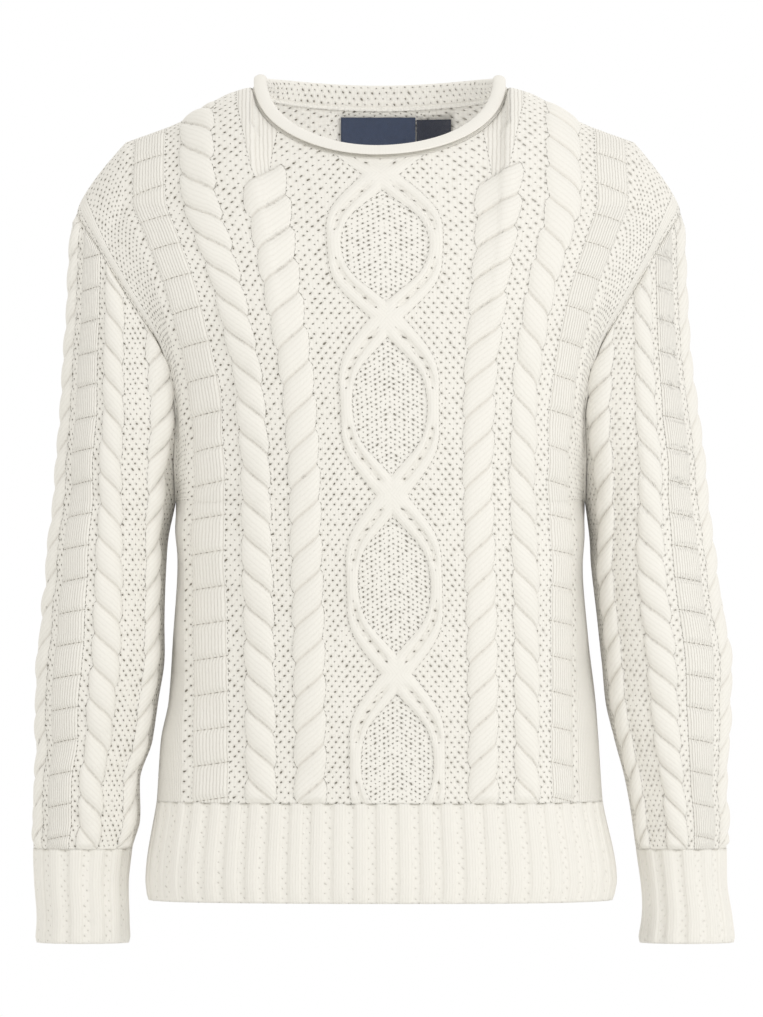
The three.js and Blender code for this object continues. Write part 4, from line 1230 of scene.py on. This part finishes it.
# %% Neckband
BAND = table(
    "along out lip",
    (0.3, 1.5, 0), (6, 1.6, 0), (10, 2.6, 0), (11.4, 4.6, 0), (8.6, 6, 0.3), (3.6, 6.4, 1), (3.4, 8.6, 1),
    (8, 9.8, 0.3), (12.6, 9.3, 0), (16, 6.8, 0), (17, 3, 0), (14.6, -1.2, 0), (7, -1.8, 0), (0.3, -1.5, 0),
)
BAND_LEAN = dict(front=60, side=62, back=12)
BAND_SIZE = dict(front=0.84, side=0.84, back=1.16)
LIP_SINK = dict(front=4, side=-1.8, back=-2)
BAND_AROUND, SECTION_STEPS = 300, 5


def neckline(turns):
    """The seam round the neck: turn 0 in front, a quarter at the wearer's left."""
    front = np.cos(turns) > 0
    depth = np.where(front, NECK["front_depth"], NECK["back_depth"])
    drop = np.where(front, NECK["front_drop"], NECK["back_drop"])
    x = NECK["half_width"] * np.sin(turns)
    return stack(x, -depth * np.cos(turns), NECK["side_z"] - drop * np.abs(np.cos(turns)))


def round_neck(sizes, turns):
    """One size at every turn: side and front blend by the cosine, the back by its easing."""
    ahead = np.clip(np.cos(turns), 0, 1)
    behind = np.clip(-np.cos(turns), 0, 1)
    return lerp(lerp(sizes["side"], sizes["front"], ahead), sizes["back"], smooth(behind))


def band_frames(turns):
    """Foot of the band, and its directions along the lean and outward, at each turn."""
    foot = neckline(turns)
    depth = np.where(np.cos(turns) > 0, NECK["front_depth"], NECK["back_depth"])
    radial = stack(foot[:, 0] / NECK["half_width"] ** 2, foot[:, 1] / depth ** 2, 0 * turns)
    radial /= np.linalg.norm(radial, axis=1, keepdims=True)
    lean = np.radians(round_neck(BAND_LEAN, turns))[:, None]
    up = np.array([0, 0, 1.0])
    along = -radial * np.sin(lean) + up * np.cos(lean)
    out = radial * np.cos(lean) + up * np.sin(lean)
    return foot - out * WALL / 2, along, out


def closed_line(corners, steps):
    """Smooth closed line through corners: cubic pieces whose slope is half the span of the
    two neighbours, and none at the two ends of the foot."""
    before, after = np.roll(corners, 1, 0), np.roll(corners, -1, 0)
    slope = (after - before) / 2
    slope[[0, -1]] = 0
    t = (np.arange(steps) / steps)[None, :, None]
    start, end = corners[:, None], after[:, None]
    bend = t * (1 - t) ** 2 * slope[:, None] - t * t * (1 - t) * np.roll(slope, -1, 0)[:, None]
    return (start + (end - start) * t * t * (3 - 2 * t) + bend).reshape(-1, corners.shape[1])


def make_band():
    """The hooked section swept round the neck, a little uneven in its fatness."""
    turns = np.linspace(0, 2 * np.pi, BAND_AROUND, endpoint=False)
    foot, along, out = band_frames(turns)
    section = closed_line(np.stack([BAND["along"], BAND["out"], BAND["lip"]], 1), SECTION_STEPS)
    size, sink = round_neck(BAND_SIZE, turns)[:, None], round_neck(LIP_SINK, turns)[:, None]
    slack = 1 + 0.04 * np.sin(3 * turns + 0.6) + 0.02 * np.sin(7 * turns)
    a = size * section[:, 0] - sink * section[:, 2]
    b = size * section[:, 1] * slack[:, None]
    grid = foot[:, None] + along[:, None] * a[..., None] + out[:, None] * b[..., None]
    index = np.arange(grid.shape[0] * grid.shape[1]).reshape(grid.shape[:2])
    quads = sheet_faces(np.concatenate([index, index[:1]]), True, False)
    length = lengths_along(foot)
    whole = np.round(length[-1] / STITCH) * STITCH
    place = np.broadcast_to((length * whole / length[-1])[:, None], grid.shape[:2])
    course = np.broadcast_to(lengths_along(section[:, :2])[None, :], grid.shape[:2])
    inside = np.broadcast_to(section[:, 1] < 3.2, grid.shape[:2]) * (course > 20)
    piece = build_mesh("neckband_roll", grid.reshape(-1, 3) * MM, quads, np.zeros((0, 3), int),
                       place.reshape(-1), course.reshape(-1), inside.reshape(-1), whole)
    piece.data.materials.append(band_yarn)
    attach(piece, "root")
    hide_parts("neckband")
    return piece


neckband = make_band()

# %% [markdown]
# The linking seam at the band's foot is a chain of small loops. It is a slim cord round
# the neckline whose radius swells once for each stitch.

# %% Neck seam
SEAM_POINTS, SEAM_SIDES = 840, 10
SEAM_RISE, SEAM_INSET = 0.6, 1.9
SEAM_RADIUS, SEAM_SWELL = 1.5, 0.55


def swept_cord(name, line, radius, sides):
    """A round tube along a closed line: rings in the plane across it, sized by radius."""
    ahead = np.roll(line, -1, 0) - np.roll(line, 1, 0)
    ahead /= np.linalg.norm(ahead, axis=1, keepdims=True)
    level = np.cross(ahead, [0, 0, 1.0])
    level /= np.linalg.norm(level, axis=1, keepdims=True)
    rise = np.cross(level, ahead)
    angles = np.linspace(0, 2 * np.pi, sides, endpoint=False)
    ring = level[:, None] * np.cos(angles)[None, :, None] + rise[:, None] * np.sin(angles)[None, :, None]
    grid = line[:, None] + ring * radius[:, None, None]
    index = np.arange(len(line) * sides).reshape(len(line), sides)
    quads = sheet_faces(np.concatenate([index, index[:1]]), True, False)
    zero = np.zeros(len(line) * sides)
    place = np.broadcast_to(lengths_along(line)[:, None], (len(line), sides)).reshape(-1)
    wrap = float(place[-1])
    return build_mesh(name, grid.reshape(-1, 3) * MM, quads, np.zeros((0, 3), int), place, zero, zero, wrap)


def make_neck_seam():
    """Chain seam just inside the neckline."""
    turns = np.linspace(0, 2 * np.pi, SEAM_POINTS, endpoint=False)
    foot, along, out = band_frames(turns)
    line = foot + along * SEAM_RISE - out * SEAM_INSET
    around = lengths_along(line)
    radius = SEAM_RADIUS + SEAM_SWELL * np.abs(np.sin(np.pi * around / STITCH))
    piece = swept_cord("neck_seam", line, radius, SEAM_SIDES)
    piece.data.materials.append(band_yarn)
    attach(piece, "root")


make_neck_seam()

# %% [markdown]
# The labels are bare woven tape: a navy main label and a small darker one beside it,
# sewn to the back's inside just under the seam. Each is a thin slab on the wall's own
# inner face.

# %% Labels
LABEL_COLUMNS, LABEL_ROWS = 41, 21
LABEL_THICK, LABEL_INSET, TAPE_RIB = 0.0009, 0.0006, 0.0008


def tape_material(name, colour, rib):
    """Woven polyester tape: fine ribs across, a soft sheen and a slightly uneven navy."""
    material = bpy.data.materials.new(name)
    material.use_nodes = True
    tree = material.node_tree
    shader = tree.nodes["Principled BSDF"]
    shader.inputs["Roughness"].default_value = 0.5
    shader.inputs["Sheen Weight"].default_value = 0.3
    coordinates = node(tree, "ShaderNodeTexCoord").outputs["Object"]
    split = node(tree, "ShaderNodeSeparateXYZ", {"Vector": coordinates})
    warp = calc("SINE", Shade(tree, split.outputs["X"]) * (2 * np.pi / rib))
    weft = calc("SINE", Shade(tree, split.outputs["Z"]) * (2 * np.pi / (rib * 0.8)))
    weave = warp * weft
    bump = node(tree, "ShaderNodeBump", {"Height": weave.socket, "Strength": 0.5, "Distance": 0.0003})
    uneven = node(tree, "ShaderNodeTexNoise", {"Vector": coordinates, "Scale": 260.0, "Detail": 3.0})
    value = Shade(tree, uneven.outputs["Fac"]) * 0.5 + 0.8
    toned = node(tree, "ShaderNodeHueSaturation", {"Color": linear(colour), "Value": value.socket})
    tree.links.new(toned.outputs[0], shader.inputs["Base Color"])
    tree.links.new(bump.outputs[0], shader.inputs["Normal"])
    return material


def make_label(name, node_name, colour):
    """A slab whose wall-side face follows the CAD label."""
    low, high = (np.array(corner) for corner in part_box(node_name))
    columns, rows = LABEL_COLUMNS, LABEL_ROWS
    x = np.linspace(low[0], high[0], columns)[None, :] * np.ones((rows, 1))
    z = np.linspace(low[2], high[2], rows)[:, None] * np.ones((1, columns))
    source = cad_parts[node_name].data
    corners = np.empty(len(source.vertices) * 3)
    source.vertices.foreach_get("co", corners)
    corners = corners.reshape(-1, 3)
    y = label_depth(corners, x, z)
    near = stack(x, y - LABEL_THICK, z)
    far = stack(x, y, z)
    index = np.arange(rows * columns).reshape(rows, columns)
    loop = np.concatenate([index[0], index[1:, -1], index[-1, -2::-1], index[-2:0:-1, 0], index[0, :1]])
    rim = np.stack([loop[1:], loop[:-1], loop[:-1] + rows * columns, loop[1:] + rows * columns], -1)
    quads = np.concatenate([
        sheet_faces(index, False, False), rim, sheet_faces(index + rows * columns, False, True),
    ])
    zero = np.zeros(2 * rows * columns)
    points = np.concatenate([near.reshape(-1, 3), far.reshape(-1, 3)])
    piece = build_mesh(name, points, quads, np.zeros((0, 3), int), zero, zero, zero)
    piece.data.materials.append(tape_material("woven tape, " + name.replace("_", " "), colour, TAPE_RIB))
    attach(piece, "root")
    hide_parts(node_name)
    return piece


def label_depth(corners, x, z):
    """Depth of the wall side of a CAD label: a quadratic in x and z fitted to its back points."""
    def terms(px, pz):
        return np.stack([np.ones_like(px), px, pz, px * px, px * pz, pz * pz], -1)

    keys = np.round(corners[:, 0], 4) * 1000 + np.round(corners[:, 2], 4)
    stacks = [corners[keys == key] for key in np.unique(keys)]
    back = np.array([points[np.argmax(points[:, 1])] for points in stacks])
    fit, *_ = np.linalg.lstsq(terms(back[:, 0], back[:, 2]), back[:, 1], rcond=None)
    return terms(x, z) @ fit - LABEL_INSET


main_label = make_label("main_label", "label", "#2c3b58")
small_label = make_label("small_label", "care_label", "#1b2236")
